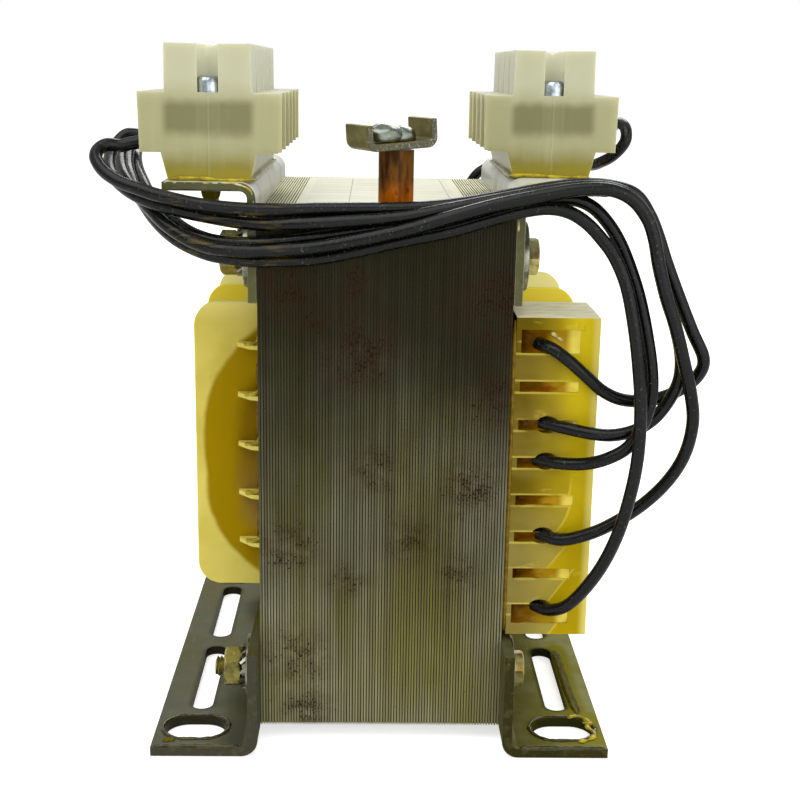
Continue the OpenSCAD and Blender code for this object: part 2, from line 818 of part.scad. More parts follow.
module tube(route, d) {
    p = smooth(route, 2);
    s0 = abs(heading(p, 0) * [0, 0, 1]) < 0.9 ? [0, 0, 1] : [1, 0, 0];
    s = sides_along(p, 0, s0);
    n = lead_sides;
    rings = [
        for (i = [0:len(p) - 1], k = [0:n - 1])
            let (b = cross(heading(p, i), s[i]))
            p[i] + d / 2 * (cos(360 * k / n) * s[i]
                + sin(360 * k / n) * b)];
    last = (len(p) - 1) * n;
    faces = concat(
        [[for (k = [0:n - 1]) k]],
        [for (i = [0:len(p) - 2], k = [0:n - 1])
            [i * n + k, (i + 1) * n + k,
             (i + 1) * n + (k + 1) % n, i * n + (k + 1) % n]],
        [[for (k = [n - 1:-1:0]) last + k]]);
    color(black) polyhedron(points = rings, faces = faces);
}

module front_lead_1() { tube(lead_1, lead_d); }
module front_lead_2() { tube(lead_2, lead_d); }
module front_lead_3() { tube(lead_3, lead_d); }
module front_lead_4() { tube(lead_4, lead_d); }
module front_lead_5() { tube(lead_5, lead_d); }
module back_lead_1() { tube(rear_lead_1, lead_d); }
module back_lead_2() { tube(rear_lead_2, lead_d); }

// ------------------------------------------------------------------ nodes

core_e_stack();
core_i_stack();
bobbin_tube();
front_flange();
middle_flange();
rear_flange();
front_lead_comb();
rear_lead_comb();
front_winding();
rear_winding();
left_foot();
right_foot();
left_terminal_bracket();
right_terminal_bracket();
clamp_bolts();
clamp_nuts();
plain_washers();
toothed_washers();
left_terminal_block();
right_terminal_block();
left_terminal_clamps();
right_terminal_clamps();
left_terminal_screws();
right_terminal_screws();
left_mounting_screws();
right_mounting_screws();
nameplate();
earth_post();
earth_lug();
front_lead_1();
front_lead_2();
front_lead_3();
front_lead_4();
front_lead_5();
back_lead_1();
back_lead_2();
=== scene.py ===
"""Looks of the control transformer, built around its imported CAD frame.

Lengths are written in millimetres and turned into metres by MM.
"""
import math
import random

import bmesh
import bpy
import numpy as np
from mathutils import Matrix, Vector, noise


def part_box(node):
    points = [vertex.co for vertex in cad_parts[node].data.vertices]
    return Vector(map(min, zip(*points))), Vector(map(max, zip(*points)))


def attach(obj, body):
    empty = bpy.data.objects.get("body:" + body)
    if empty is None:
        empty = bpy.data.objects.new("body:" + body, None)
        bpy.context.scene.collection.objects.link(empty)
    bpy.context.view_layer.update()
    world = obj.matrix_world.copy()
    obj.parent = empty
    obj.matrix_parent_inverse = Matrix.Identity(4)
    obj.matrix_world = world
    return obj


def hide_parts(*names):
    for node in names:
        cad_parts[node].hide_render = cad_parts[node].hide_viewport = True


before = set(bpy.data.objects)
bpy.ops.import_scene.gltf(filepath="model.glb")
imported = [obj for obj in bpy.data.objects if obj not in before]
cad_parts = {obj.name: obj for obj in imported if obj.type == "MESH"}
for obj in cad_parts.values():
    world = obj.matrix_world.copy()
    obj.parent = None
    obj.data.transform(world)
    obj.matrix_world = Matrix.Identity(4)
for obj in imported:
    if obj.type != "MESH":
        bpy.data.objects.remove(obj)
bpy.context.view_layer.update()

MM = 0.001
SHEETS = 86             # laminations in the core
GAP = 0.19              # varnish between two laminations
GAP_DEPTH = 0.22        # how far the varnish lies behind the sheets' edges
LEAD_D = 2.3            # outside diameter of the leads
POLE_PITCH = 10.7       # between the terminals of a strip
CAGE_U = 4.5            # from a strip's middle to the middle of its clamps
FOOT_T = 1.8            # thickness of the feet
SLOT_X = 34.75          # from the middle to the middle of a foot's slots
END_SLOT_Y = 39.0       # from the middle to the slots across the feet's ends
SIDE_SLOT_Y = 17.1      # from the middle to the slots along the feet
NUT_ACROSS = 7.0        # across the flats of the nuts
HEAD_ACROSS = 6.2       # across the flats of the bolt heads
HEAD_H = 2.12           # height of the bolt heads
PAN_H = 2.7             # height of the pan heads
COMB_BAR = 2.2          # height of a comb's top and bottom bars
COMB_GAP = 1.9          # between two blocks of a comb
COMB_PLATE = 3.5        # width of a comb's outer plate
COMB_SPARE = 0.78       # room above and below the blocks, in block pitches
COMB_RISE = 0.5         # how much a comb stands above its flange
RIB_MID_Z = 53.1        # height of the middle rib on the end flanges
RIB_PITCH = 9.7         # between two ribs
COIL_R = 24             # radius of the winding's rounded corners
WELD = 0.002            # points closer than this are one
FLOOR_REACH = 6.0       # half the side of the floor, in metres
FLOOR_GLOW = 0.66       # glow of the floor that only the camera sees
ROOM_LIGHT = 0.52       # strength of the white world as light on the object

WARM = (1.0, 0.9, 0.4, 1.0)     # tint of the highlights on surfaces under resin
AMBER_GLOW = (1.0, 0.8, 0.2)    # how far red, green and blue go into yellow nylon

random.seed(7)


def box_mm(node):
    """Lowest and highest corner of a CAD node in mm."""
    return [Vector(corner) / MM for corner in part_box(node)]


def comb_layout(node, blocks):
    """Corners of a comb, pitch of its blocks, middle of the gap under them."""
    low, high = box_mm(node)
    pitch = (high.z - low.z - 2 * COMB_BAR - COMB_RISE) / (blocks + COMB_SPARE)
    return low, high, pitch, low.z + COMB_BAR + COMB_SPARE / 2 * pitch


def new_object(name, data):
    """Object with its data, in the scene."""
    made = bpy.data.objects.new(name, data)
    bpy.context.collection.objects.link(made)
    return made


# ---------- camera

def make_camera():
    """Camera at the level of the terminal strips, looking down a little."""
    place = Vector((-2.7, -271.5, 123.15)) * MM
    pitch, yaw, roll = (math.radians(a) for a in (13.83, -1.36, 0.96))
    aim = Matrix.Rotation(yaw, 3, "Z") @ Matrix.Rotation(
        math.radians(90) - pitch, 3, "X") @ Matrix.Rotation(roll, 3, "Z")
    camera = new_object("camera", bpy.data.cameras.new("camera"))
    camera.data.sensor_width = 36
    camera.data.lens = 60.37
    camera.data.clip_start = 0.01
    camera.matrix_world = Matrix.Translation(place) @ aim.to_4x4()
    bpy.context.scene.camera = camera


make_camera()


# ---------- materials

def linear(colour):
    """Colour written as #rrggbb, as the linear RGBA that Blender takes."""
    parts = [int(colour[i:i + 2], 16) / 255 for i in (1, 3, 5)]
    return tuple(c / 12.92 if c <= 0.04045 else ((c + 0.055) / 1.055) ** 2.4
                 for c in parts) + (1.0,)


def put(value, socket):
    """Link a socket or a Field to a socket, or set a number or a colour on it."""
    value = getattr(value, "socket", value)
    if isinstance(value, bpy.types.NodeSocket):
        socket.id_data.links.new(value, socket)
    else:
        socket.default_value = linear(value) if isinstance(value, str) else value


def add_node(tree, kind, inputs, **settings):
    node = tree.nodes.new("ShaderNode" + kind)
    for key, value in settings.items():
        setattr(node, key, value)
    for key, value in inputs.items():
        put(value, node.inputs[key])
    return node


def by(operation):
    """Operator of a Field that adds a Math node."""
    return lambda a, b=0.0: a.look.math(operation, a, b)


class Field:
    """A value that varies over a surface; arithmetic on it adds Math nodes."""

    def __init__(self, look, socket):
        self.look, self.socket = look, socket

    __add__, __sub__ = by("ADD"), by("SUBTRACT")
    __mul__, __truediv__ = by("MULTIPLY"), by("DIVIDE")
    __abs__ = by("ABSOLUTE")

    def __rsub__(self, other):
        return self.look.math("SUBTRACT", other, self)

    def step(self, low, high):
        """0 below low, 1 above high, smooth between."""
        node = self.look.add("MapRange", {"Value": self, "From Min": low, "From Max": high},
                             interpolation_type="SMOOTHSTEP")
        return Field(self.look, node.outputs["Result"])

    def mix(self, a, b):
        """Colour a where the field is 0, b where it is 1."""
        node = self.look.add("Mix", {}, data_type="RGBA")
        for socket, value in zip((0, 6, 7), (self, a, b)):
            put(value, node.inputs[socket])
        return Field(self.look, node.outputs[2])


LOOKS = {}      # the finished materials by name


class Look:
    """A procedural material in the object's own coordinates, in mm.

    base is its colour so far, which every stain changes.
    """

    def __init__(self, name, specular=0.5, **sockets):
        self.name = name
        self.material = bpy.data.materials.new(name)
        self.material.use_nodes = True
        self.shader = self.material.node_tree.nodes["Principled BSDF"]
        coords = self.add("TexCoord", {}).outputs["Object"]
        self.mm = self.vector("MULTIPLY", coords, (1 / MM,) * 3)
        self.base = None
        sockets["Specular_IOR_Level"] = specular
        for socket, value in sockets.items():
            put(value, self.shader.inputs[socket.replace("_", " ")])

    def add(self, kind, inputs, **settings):
        return add_node(self.material.node_tree, kind, inputs, **settings)

    def vector(self, operation, a, b):
        return self.add("VectorMath", {0: a, 1: b}, operation=operation).outputs[0]

    def math(self, operation, a, b=0.0):
        node = self.add("Math", {0: a, 1: b}, operation=operation)
        return Field(self, node.outputs[0])

    def axes(self, vector=None):
        node = self.add("SeparateXYZ", {0: vector or self.mm})
        return [Field(self, node.outputs[k]) for k in "XYZ"]

    def noise(self, size, along=(1, 1, 1), detail=3.0, shift=0.0):
        """Noise from 0 to 1 with features of size mm, longer along some axes."""
        scale = tuple(1 / (size * a) for a in along)
        moved = self.vector("ADD", self.vector("MULTIPLY", self.mm, scale),
                            (shift, shift * 1.7, shift * 2.3))
        node = self.add("TexNoise", {"Vector": moved, "Scale": 1.0, "Detail": detail})
        return Field(self, node.outputs["Fac"])

    def cloud(self, low, high, size, *kind, **more):
        """Patches of noise: 0 where it is below low, 1 where it is above high."""
        return self.noise(size, *kind, **more).step(low, high)

    def near(self, centre, inner, outer):
        """1 within inner mm of a point, 0 past outer mm."""
        away = self.add("VectorMath", {0: self.mm, 1: centre}, operation="DISTANCE")
        return Field(self, away.outputs["Value"]).step(outer, inner)

    def stained(self, colour, mask, amount, other):
        """Colour with a share of another, where mask is 1."""
        return (mask if amount == 1 else mask * amount).mix(colour, other)

    def stain(self, mask, amount, other):
        self.base = self.stained(self.base, mask, amount, other)

    def facing(self, axis):
        """1 on faces that look along an axis (0, 1, 2) or against it."""
        n = self.axes(self.add("NewGeometry", {}).outputs["True Normal"])[axis]
        return n * n

    def capsule(self, centre, half_x, half_y):
        """Distance in mm from a level line or point, seen from above."""
        x, y, _ = self.axes()
        away = [self.largest(abs(value - middle) - half, 0.0)
                for value, middle, half in ((x, centre[0], half_x), (y, centre[1], half_y))]
        return self.root_of_squares(*away)

    def root_of_squares(self, a, b):
        return self.math("SQRT", a * a + b * b)

    def largest(self, first, *others):
        for value in others:
            first = self.math("MAXIMUM", first, value)
        return first

    def done(self, rough, low, high, *bumps):
        """Set the colour, roughness from low to high and bumps, and keep the look.

        Each bump is a height from 0 to 1 and its depth in mm.
        """
        put(self.base, self.shader.inputs["Base Color"])
        spread = self.add("MapRange", {"Value": rough, "To Min": low, "To Max": high})
        put(spread.outputs["Result"], self.shader.inputs["Roughness"])
        normal = {}
        for height, depth in bumps:
            node = self.add("Bump", {"Height": height, "Strength": 1.0,
                                     "Distance": depth * MM, **normal})
            normal = {"Normal": node.outputs["Normal"]}
        put(normal["Normal"], self.shader.inputs["Normal"])
        LOOKS[self.name] = self.material

    def done_as_metal(self, low, high, depth):
        self.done(self.noise(1.5, detail=4, shift=2), low, high,
                  (self.noise(0.9, detail=4), depth))


def lamination_look():
    """Varnished sheets: dark towards the top, bright and olive low down."""
    look = Look("laminations", 0.15, Metallic=0.5, Specular_Tint=WARM)
    z = look.axes()[2]
    look.base = look.cloud(0.3, 0.75, 14, (1, 1, 2.5)).mix("#9f9d80", "#857f40")
    look.stain(look.cloud(0.3, 0.75, 0.55, (1, 500, 500), detail=0), 0.6, "#69654b")
    look.stain(look.cloud(0.5, 0.8, 1.6, (1, 1, 20), 5, 3), 0.35, "#35311d")
    # painted sheen: round a point on the front face the darkening towards the top is held back
    height = z + (look.noise(26, shift=9) - 0.5) * 46 - look.near((1, -40, 62), 6, 22) * 9
    look.stain(look.cloud(0.52, 0.72, 6, (1, 1, 4), shift=15), 0.4, "#6c6a10")
    look.stain(height.step(0, 80), 0.95, "#121006")
    # dark brown rust in patches and specks on the front and the back
    places = [(-16.7, 86, 6), (-5.4, 87, 4), (-4.1, 75, 8), (-12.3, 80, 3),
              (20, 83, 9), (19.7, 66, 6), (-1.5, 53, 5), (16, 50, 6), (5, 40, 5),
              (-6.4, 32, 4), (-17, 38, 6), (14, 33, 4), (-15.5, 17, 7), (-14, 6, 6)]
    spots = [(x, -40, z, r) for x, z, r in places]
    spots += [(-x, 40, 100 - z, r) for x, z, r in places[::2]]
    patch = look.largest(*(look.near(spot[:3], 0, spot[3] * 1.5) for spot in spots))
    patch = patch * look.cloud(0.3, 0.62, 3.5, detail=4, shift=12)
    grain = look.noise(0.34, (1, 1, 1.5), 4, 5)
    look.stain(patch, 0.55, "#381704")
    look.stain((grain - (0.69 - patch * 0.2)).step(0.0, 0.06), 0.85, "#120a03")
    # painted light: faces that look up at the top of the core are made lighter
    look.stain(look.facing(2), z.step(98, 98.6), "#c3c4b8")
    look.done(look.noise(3, (1, 1, 6)), 0.34, 0.6, (look.noise(0.7, (1, 1, 3), 5), 0.03))


def zinc_look(name, base, stain, amount, front, **sockets):
    """Plate dulled by resin; amount is the share of stained surface.

    front is the colour of the cut edges that look forward or back.
    """
    look = Look(name, Coat_Roughness=0.12, Specular_Tint=WARM, **sockets)
    cloud = look.cloud(0.62 - amount / 2, 0.72 - amount / 4, 9, detail=5)
    look.base = cloud.mix(base, stain)
    flecks = look.cloud(0.5, 0.75, 1.6, detail=5, shift=6)
    look.stain(look.facing(1), 1, look.stained(front, flecks, 0.15, "#8d8a4e"))
    look.stain(look.cloud(0.64, 0.74, 0.5, (1, 14, 1), 2, 2), 0.1, "#9c9d8e")
    look.stain(look.cloud(0.7, 0.76, 1.1, detail=2, shift=8), 0.6, "#26251a")
    return look


def foot_look(side, base, stain, amount, front):
    """Foot under dark varnish, darkest round the slots; olive resin on the right one."""
    right = side == "right"
    look = zinc_look(side + "_foot_zinc", base, stain, amount, front, Coat_Weight=0.03,
                     Metallic=0.45 if right else 0.2, specular=0.0 if right else 0.1)
    if right:
        # beside the front long slot and round the front end slot
        along = look.capsule((38.2, -20), 0, 17).step(3.0, 1.0)
        round_end = look.capsule((SLOT_X + 2, -END_SLOT_Y), 2.5, 0).step(8.5, 5.5)
        look.stain(look.largest(along, round_end), 0.75, "#5a5602")
    x = SLOT_X if right else -SLOT_X
    rims = [look.capsule((x, y), 1.5, 0).step(5.4, 4.3) for y in (-END_SLOT_Y, END_SLOT_Y)]
    rims += [look.capsule((x, y), 0, 12.4).step(3.2, 2.2) for y in (-SIDE_SLOT_Y, SIDE_SLOT_Y)]
    look.stain(look.largest(*rims), 0.75, "#1d1c12")
    look.done(look.noise(4, detail=4, shift=4), 0.22, 0.5,
              (look.noise(2.2, detail=4), 0.04), (look.noise(0.6, shift=1), 0.012))


def bracket_look():
    """Light zinc; the cut edges in front are dark with dried resin on them."""
    look = zinc_look("bracket_zinc", "#dcdfd6", "#c2c2b0", 0.25, "#4d4d2a", specular=0.1,
                     Metallic=0.05, Coat_Weight=0.4)
    look.done(look.noise(4, detail=4, shift=4), 0.3, 0.55, (look.noise(2.2, detail=4), 0.03))


def strip_look(side):
    """Milky nylon: brass shows inside, resin has risen yellow from the base."""
    low, high = box_mm(side + "_terminal_block")
    cage_low, cage_high = box_mm(side + "_terminal_clamps")
    look = Look(side + "_strip_nylon", 0.3, Subsurface_Weight=0.5, IOR=1.5, Coat_Weight=0.1,
                Subsurface_Scale=0.003, Subsurface_Radius=(1.0, 0.95, 0.7))
    x, y, z = look.axes()
    up = z - low.z
    wavy = up + look.noise(7, shift=1) * 3.0
    look.base = wavy.step(3.0, 8.0).mix("#837922", "#a4a278")
    look.stain(wavy.step(14.0, 19.0), 1, "#bab99a")
    look.stain(look.cloud(0.45, 0.7, 2.6, (1, 1, 12), shift=5), 0.12, "#c9c9a8")
    look.stain(wavy.step(5.0, 2.2), 1, "#8f8314")
    look.stain(wavy.step(2.4, 1.2), 1, "#9c880a")
    # painted light: faces that look to the left or right are lightened
    look.stain(look.facing(0), 0.75, "#e2e2cc")
    # painted light: the recess over each mounting screw is lightened, as if light passed through
    # its thin walls
    from_middle = abs(x - (cage_low.x + cage_high.x) / 2)
    half = (high.y - low.y) / 2
    along = abs(y - (low.y + half))
    recess = from_middle.step(2.7, 2.5) * up.step(14, 17)
    recess = recess * along.step(half - 0.3, half - 0.7)
    recess = recess * along.step(half - 6.5, half - 5)
    look.stain(recess, 0.6, "#e0dfc8")
    # brass clamps seen through the plastic
    in_x = look.largest(abs(from_middle - CAGE_U).step(3.9, 2.2), from_middle.step(3.2, 1.5) * 0.9)
    height = z + look.noise(3, shift=8) * 1.2
    in_z = (height.step(cage_low.z - 1.0, cage_low.z + 1.6)
            * height.step(cage_high.z + 1.8, cage_high.z - 0.2))
    turn = look.math("FRACT", (y - low.y) / POLE_PITCH)
    in_y = abs(turn - 0.5).step(0.34, 0.18)
    seen = look.facing(1) * in_x + look.facing(0) * in_y
    look.stain(seen * in_z, 0.72, "#67653a")
    # moulding seam down the middle of the ends
    seam = from_middle.step(0.28, 0.08) * look.facing(1)
    look.stain(seam, 0.06, "#dcdcc2")
    look.done(look.noise(5, detail=4), 0.3, 0.46, (look.noise(3.5), 0.05), (seam, 0.05))


def bobbin_look():
    """Translucent yellow nylon; the winding shows dark behind the end flanges."""
    look = Look("bobbin_nylon", 0.06, Subsurface_Weight=0.4, Subsurface_Scale=0.002,
                Subsurface_Radius=AMBER_GLOW, IOR=1.5, Specular_Tint=WARM)
    low, high = box_mm("front_winding")
    x, y, z = look.axes()
    dx = look.largest(abs(x) - (high.x - COIL_R), 0.0)
    dz = abs(z - (low.z + high.z) / 2) - ((high.z - low.z) / 2 - COIL_R)
    away = look.root_of_squares(dx, look.largest(dz, 0.0)) + look.noise(9) * 1.6
    behind = away.step(COIL_R + 1.9, COIL_R + 0.8) * look.facing(1)
    behind = behind * abs(y).step(23.6, 22.9)
    look.base = look.cloud(0.35, 0.7, 14, shift=2).mix("#e1d36c", "#cfbf52")
    # painted light: the top of the flanges is lightened
    look.stain(z.step(76, 81), 0.8, "#f4e788")
    # painted light: the flanges farther back are lightened, the last one nearly cream
    look.stain(y.step(-15, -5), 0.8, "#f7e23c")
    look.stain(y.step(15, 20), 0.8, "#f6f0b4")
    inner = (away + look.noise(6, (1, 1, 2), shift=4) * 4).step(COIL_R - 1, COIL_R - 5)
    amber = z.step(34, 56).mix("#957a38", "#846700")
    look.stain(behind, 1, inner.mix("#a48600", amber))
    look.stain(look.cloud(0.6, 0.75, 6, (1, 1, 1.5), 4, 6), 0.35, "#a98a10")
    look.done(look.noise(4, detail=4), 0.25, 0.42, (look.noise(4, detail=4), 0.06))


def comb_look():
    """Comb plastic: olive blocks, an outer plate with painted light growing upwards, and a pale
    top that is painted light.
    """
    look = Look("comb_nylon", 0.08, Subsurface_Weight=0.3, Subsurface_Scale=0.0015,
                Subsurface_Radius=AMBER_GLOW, IOR=1.5, Specular_Tint=WARM)
    low, high, pitch, gap_z = comb_layout("front_lead_comb", 7)
    x, _, z = look.axes()
    # painted light: the plate is made brighter towards its top
    plate = z.step(low.z, high.z).mix("#b09607", "#d2ba18")
    # how far up a block or the gap above it, and the block's slanting end
    part = look.math("FRACT", (z - (gap_z + COMB_GAP / 2)) / pitch)
    slant = (0.75 - part) * (z.step(52, 34) * 5.0)
    inside = (high.x - COMB_PLATE - 0.5) - slant - x
    lower = z.step(54, 48)
    within = lower.mix(inside.step(-1.0, 4.0), inside.step(-0.3, 0.5))
    across = x + look.noise(8) * 3.0
    block = across.step(low.x + 3, low.x + 12).mix("#604f06", "#a58f14")
    milky = look.cloud(0.45, 0.7, 7, (2, 1, 1), shift=3)
    block = look.stained(block, milky, 0.22, "#a3954a")
    block = look.stained(block, z.step(52, 34), 0.35, "#b0a45f")
    look.base = within.mix(plate, block)
    # a thin bright line round every block
    rims = [abs(part - at).step(0.045, 0.015) * within
            for at in (0.02, 1 - COMB_GAP / pitch - 0.02)]
    rims.append(lower * abs(inside).step(0.35, 0.1))
    look.stain(look.largest(*rims) * look.cloud(0.3, 0.55, 5, shift=8), 0.4, "#e2d05a")
    look.stain(x.step(high.x - 1.8, high.x - 0.3), 0.7, "#e6d878")
    drip = look.cloud(0.62, 0.7, 3, (2, 1, 1), 4, 7)
    look.stain(drip, 0.2, "#e0c94a")
    # painted light: the face that looks up is made pale, with streaks in it
    top = look.facing(2) * z.step(high.z - 1.2, high.z - 0.4)
    streaks = look.cloud(0.45, 0.7, 1.4, (3, 1, 1), 4)
    look.stain(top, 1, streaks.mix("#fbf5cc", "#e2d8a6"))
    look.done(look.noise(4, detail=4), 0.22, 0.42, (look.noise(3, detail=4), 0.06), (drip, 0.15))


def amber_look():
    """Impregnating resin in the gaps of the combs: brown inside, yellow outside."""
    look = Look("amber_resin", 0.08, Coat_Weight=0.04, Coat_Roughness=0.1,
                Specular_Tint=WARM, Subsurface_Weight=0.2, Subsurface_Scale=0.001)
    low, high = box_mm("front_lead_comb")
    x = look.axes()[0]
    across = x + look.noise(5, (1, 1, 0.5)) * 7.0
    look.base = across.step(low.x + 3, low.x + 8).mix("#401d02", "#7a5404")
    look.stain(across.step(low.x + 8.5, low.x + 12), 1, "#b7931a")
    look.stain(x.step(high.x - 6.2, high.x - 4.6), 1, "#f2dc60")
    look.stain(look.cloud(0.58, 0.68, 3.4, (2, 1, 1), shift=4), 0.6, "#7e2f05")
    look.done(look.noise(2, shift=2), 0.08, 0.3, (look.noise(1.6, (3, 1, 1), 2), 0.06))


def winding_look():
    """Varnished wire under laps of tape."""
    look = Look("winding_copper", Coat_Weight=0.15, Coat_Roughness=0.2, Specular_Tint=WARM)
    turns = look.noise(0.5, (60, 1, 60), 1)
    laps = look.cloud(0.42, 0.5, 5, (60, 1, 60), 0, 3)
    look.base = turns.step(0.35, 0.65).mix("#7d6210", "#564008")
    look.stain(laps, 1, "#8c7418")
    look.done(look.noise(3, shift=4), 0.3, 0.55, (turns, 0.12), (laps, 0.2))


def brass_look(name, base, dark):
    look = Look(name, Metallic=0.9)
    look.base = look.cloud(0.35, 0.7, 2.5, detail=5).mix(base, dark)
    look.stain(look.cloud(0.66, 0.74, 0.7, detail=2, shift=5), 0.5, "#2d280f")
    look.done_as_metal(0.2, 0.48, 0.025)


def bolt_look():
    """Yellow zinc, gold where resin covers it, and paler on the heads as painted light."""
    look = Look("bolt_zinc", Metallic=0.8, Coat_Weight=0.3, Coat_Roughness=0.1)
    cloud = look.cloud(0.38, 0.66, 2.2, detail=5)
    nut, head = cloud.mix("#988e45", "#6a622b"), cloud.mix("#d6ce92", "#a08330")
    # painted light: the heads on the right are paler than the nuts
    look.base = look.axes()[0].step(-1, 1).mix(nut, head)
    look.stain(look.cloud(0.62, 0.7, 0.8, shift=5), 0.4, "#d8d5b4")
    look.done_as_metal(0.18, 0.42, 0.03)


def lug_look():
    """Tinned brass: yellowish walls, dark grey cut edges with bright grains."""
    look = Look("lug_brass", Metallic=0.45, Coat_Weight=0.1)
    look.base = look.cloud(0.35, 0.7, 2.5, detail=5).mix("#857a3c", "#666034")
    grains = look.cloud(0.55, 0.66, 0.35, shift=5)
    look.stain(look.facing(1), 1, grains.mix("#3d3e33", "#8d8e7c"))
    look.done_as_metal(0.3, 0.55, 0.05)


def copper_look():
    """Post under brown lacquer, dark above and orange below."""
    look = Look("post_copper", 0.05, Metallic=0.1, Coat_Weight=0.05, Coat_Roughness=0.06)
    foot = box_mm("earth_post")[0].z
    streak = look.noise(1.3, (1, 1, 5), 4)
    orange = streak.step(0.35, 0.7).mix("#b35c04", "#7c4303")
    dark = streak.step(0.4, 0.65).mix("#6d4412", "#33200c")
    height = look.axes()[2] + look.noise(2.5, shift=3) * 5.0
    look.base = height.step(foot + 4.5, foot + 8.5).mix(orange, dark)
    look.stain(look.cloud(0.6, 0.7, 0.9, (1, 1, 1.5), shift=4), 0.6, "#3d1203")
    look.done(look.noise(2, (1, 1, 3)), 0.2, 0.4, (look.noise(1.2, (1, 1, 3)), 0.06))


def label_look():
    """Cream foil with a blank ruled table in grey."""
    look = Look("label", Coat_Weight=0.1, Coat_Roughness=0.2)
    x, y, _ = look.axes()
    low, high = box_mm("nameplate")
    ruled = look.add("TexBrick", {
        "Vector": look.vector("SUBTRACT", look.mm, tuple(low)),
        "Color1": "#d6d7b9", "Color2": "#cdceb0", "Mortar": "#8f917e", "Scale": 1.0,
        "Mortar Size": 0.12, "Brick Width": 9.6, "Row Height": 6.1}, offset=0.0)
    edge = look.largest(*(v.step(1.6, 1.4) for v in (
        x - low.x, high.x - x, y - low.y, high.y - y)))
    look.base = edge.mix(ruled.outputs["Color"], "#d9dabb")
    look.stain(look.cloud(0.5, 0.8, 8, detail=4), 0.35, "#bfc28c")
    look.done(look.noise(5), 0.35, 0.5, (look.noise(6, detail=2), 0.05))


def lead_look():
    """Black sleeving, grey on top from dust and a painted sheen, and stained amber near the left
    strip.
    """
    look = Look("lead_black", 0.38, Coat_Weight=0.12, Coat_Roughness=0.1, IOR=1.33)
    x = look.axes()[0]
    look.base = "#050706"
    look.stain(look.cloud(0.45, 0.7, 4, detail=5, shift=3), 0.4, "#121410")
    normal = look.add("NewGeometry", {}).outputs["Normal"]
    # grey on faces that look up: partly dust, partly a painted sheen
    dust_and_top_sheen = look.axes(normal)[2].step(0.3, 0.95) * look.cloud(0.35, 0.6, 2.4, detail=5)
    look.stain(dust_and_top_sheen, 0.06, "#565c58")
    look.stain(look.cloud(0.64, 0.74, 0.5), 0.45, "#6d6b56")
    amber = x.step(-12, -24) * x.step(-42, -34)
    look.stain(amber * look.cloud(0.56, 0.64, 0.8, (9, 1, 1), shift=6), 0.35, "#6a5714")
    look.done(look.noise(1.6, detail=5, shift=7), 0.1, 0.42,
              (look.noise(1.0, detail=5, shift=1), 0.08))


def bright_look(name, base, other, low, high):
    look = Look(name, Metallic=1.0)
    look.base = look.cloud(0.4, 0.7, 1.2, detail=5).mix(base, other)
    look.done(look.noise(0.8, detail=4, shift=2), low, high,
              (look.noise(0.7, detail=4, shift=3), 0.03))


def resin_look(name, pale, deep, coat):
    """Dripped impregnating resin, glossy; the pale one also serves as a painted highlight along
    the brackets' front edges.
    """
    look = Look(name, coat / 2, Coat_Weight=coat, Coat_Roughness=0.05, Specular_Tint=WARM,
                Subsurface_Weight=0.15, Subsurface_Scale=0.001)
    look.base = look.cloud(0.35, 0.7, 1.4).mix(pale, deep)
    look.done(look.noise(1.0, shift=2), 0.06, 0.25, (look.noise(0.8), 0.08))


def varnish_look():
    """Dark varnish between the laminations."""
    look = Look("gap_varnish", 0.2)
    look.base = look.noise(6, (1, 1, 3)).mix("#0a0903", "#25210c")
    look.done(look.noise(2, shift=2), 0.35, 0.6, (look.noise(1, (1, 1, 3)), 0.05))


varnish_look()
lamination_look()
bobbin_look()
comb_look()
amber_look()
winding_look()
bracket_look()
bolt_look()
label_look()
copper_look()
lug_look()
lead_look()
strip_look("left")
strip_look("right")
foot_look("left", "#45483a", "#474527", 0.3, "#403e32")
foot_look("right", "#6c6e52", "#5f5e3a", 0.5, "#35321a")
brass_look("washer_steel", "#a9aa9b", "#55553f")
brass_look("clamp_brass", "#8d7c3c", "#66582a")
bright_look("screw_zinc", "#b9c3c9", "#7e878c", 0.12, 0.35)
bright_look("solder", "#878d86", "#6f7566", 0.2, 0.4)
resin_look("yellow_resin", "#b7a422", "#7f6e0e", 0.3)
resin_look("dark_resin", "#3f3c1c", "#17160c", 0.4)
resin_look("olive_resin", "#5c5508", "#433e06", 0.05)
resin_look("tube_nylon", "#7d5f08", "#5d4506", 0.3)
resin_look("pale_resin_and_glint", "#d8cf94", "#a8942c", 0.3)


# ---------- geometry

def finished(piece, look, slot, *stands_for):
    """Give a new piece its look, its body and the CAD nodes it stands for."""
    piece.data.materials.clear()
    piece.data.materials.append(LOOKS[look])
    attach(piece, "root")
    if stands_for:
        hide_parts(*stands_for)


def mesh_piece(name, parts, look, slot, *stands_for, smooth=None):
    """New piece from (verts, faces) parts in mm, smooth up to an angle in degrees."""
    verts, faces = [], []
    for points, sides in parts:
        faces += [tuple(i + len(verts) for i in side) for side in sides]
        verts += [tuple(c * MM for c in point) for point in points]
    data = bpy.data.meshes.new(name)
    data.from_pydata(verts, [], faces)
    piece = new_object(name, data)
    bm = bmesh.new()
    bm.from_mesh(data)
    bmesh.ops.remove_doubles(bm, verts=bm.verts, dist=0.0001 * MM)
    bmesh.ops.recalc_face_normals(bm, faces=bm.faces)
    bm.to_mesh(data)
    bm.free()
    if smooth:
        data.shade_smooth()
        data.set_sharp_from_angle(angle=math.radians(smooth))
    finished(piece, look, slot, *stands_for)


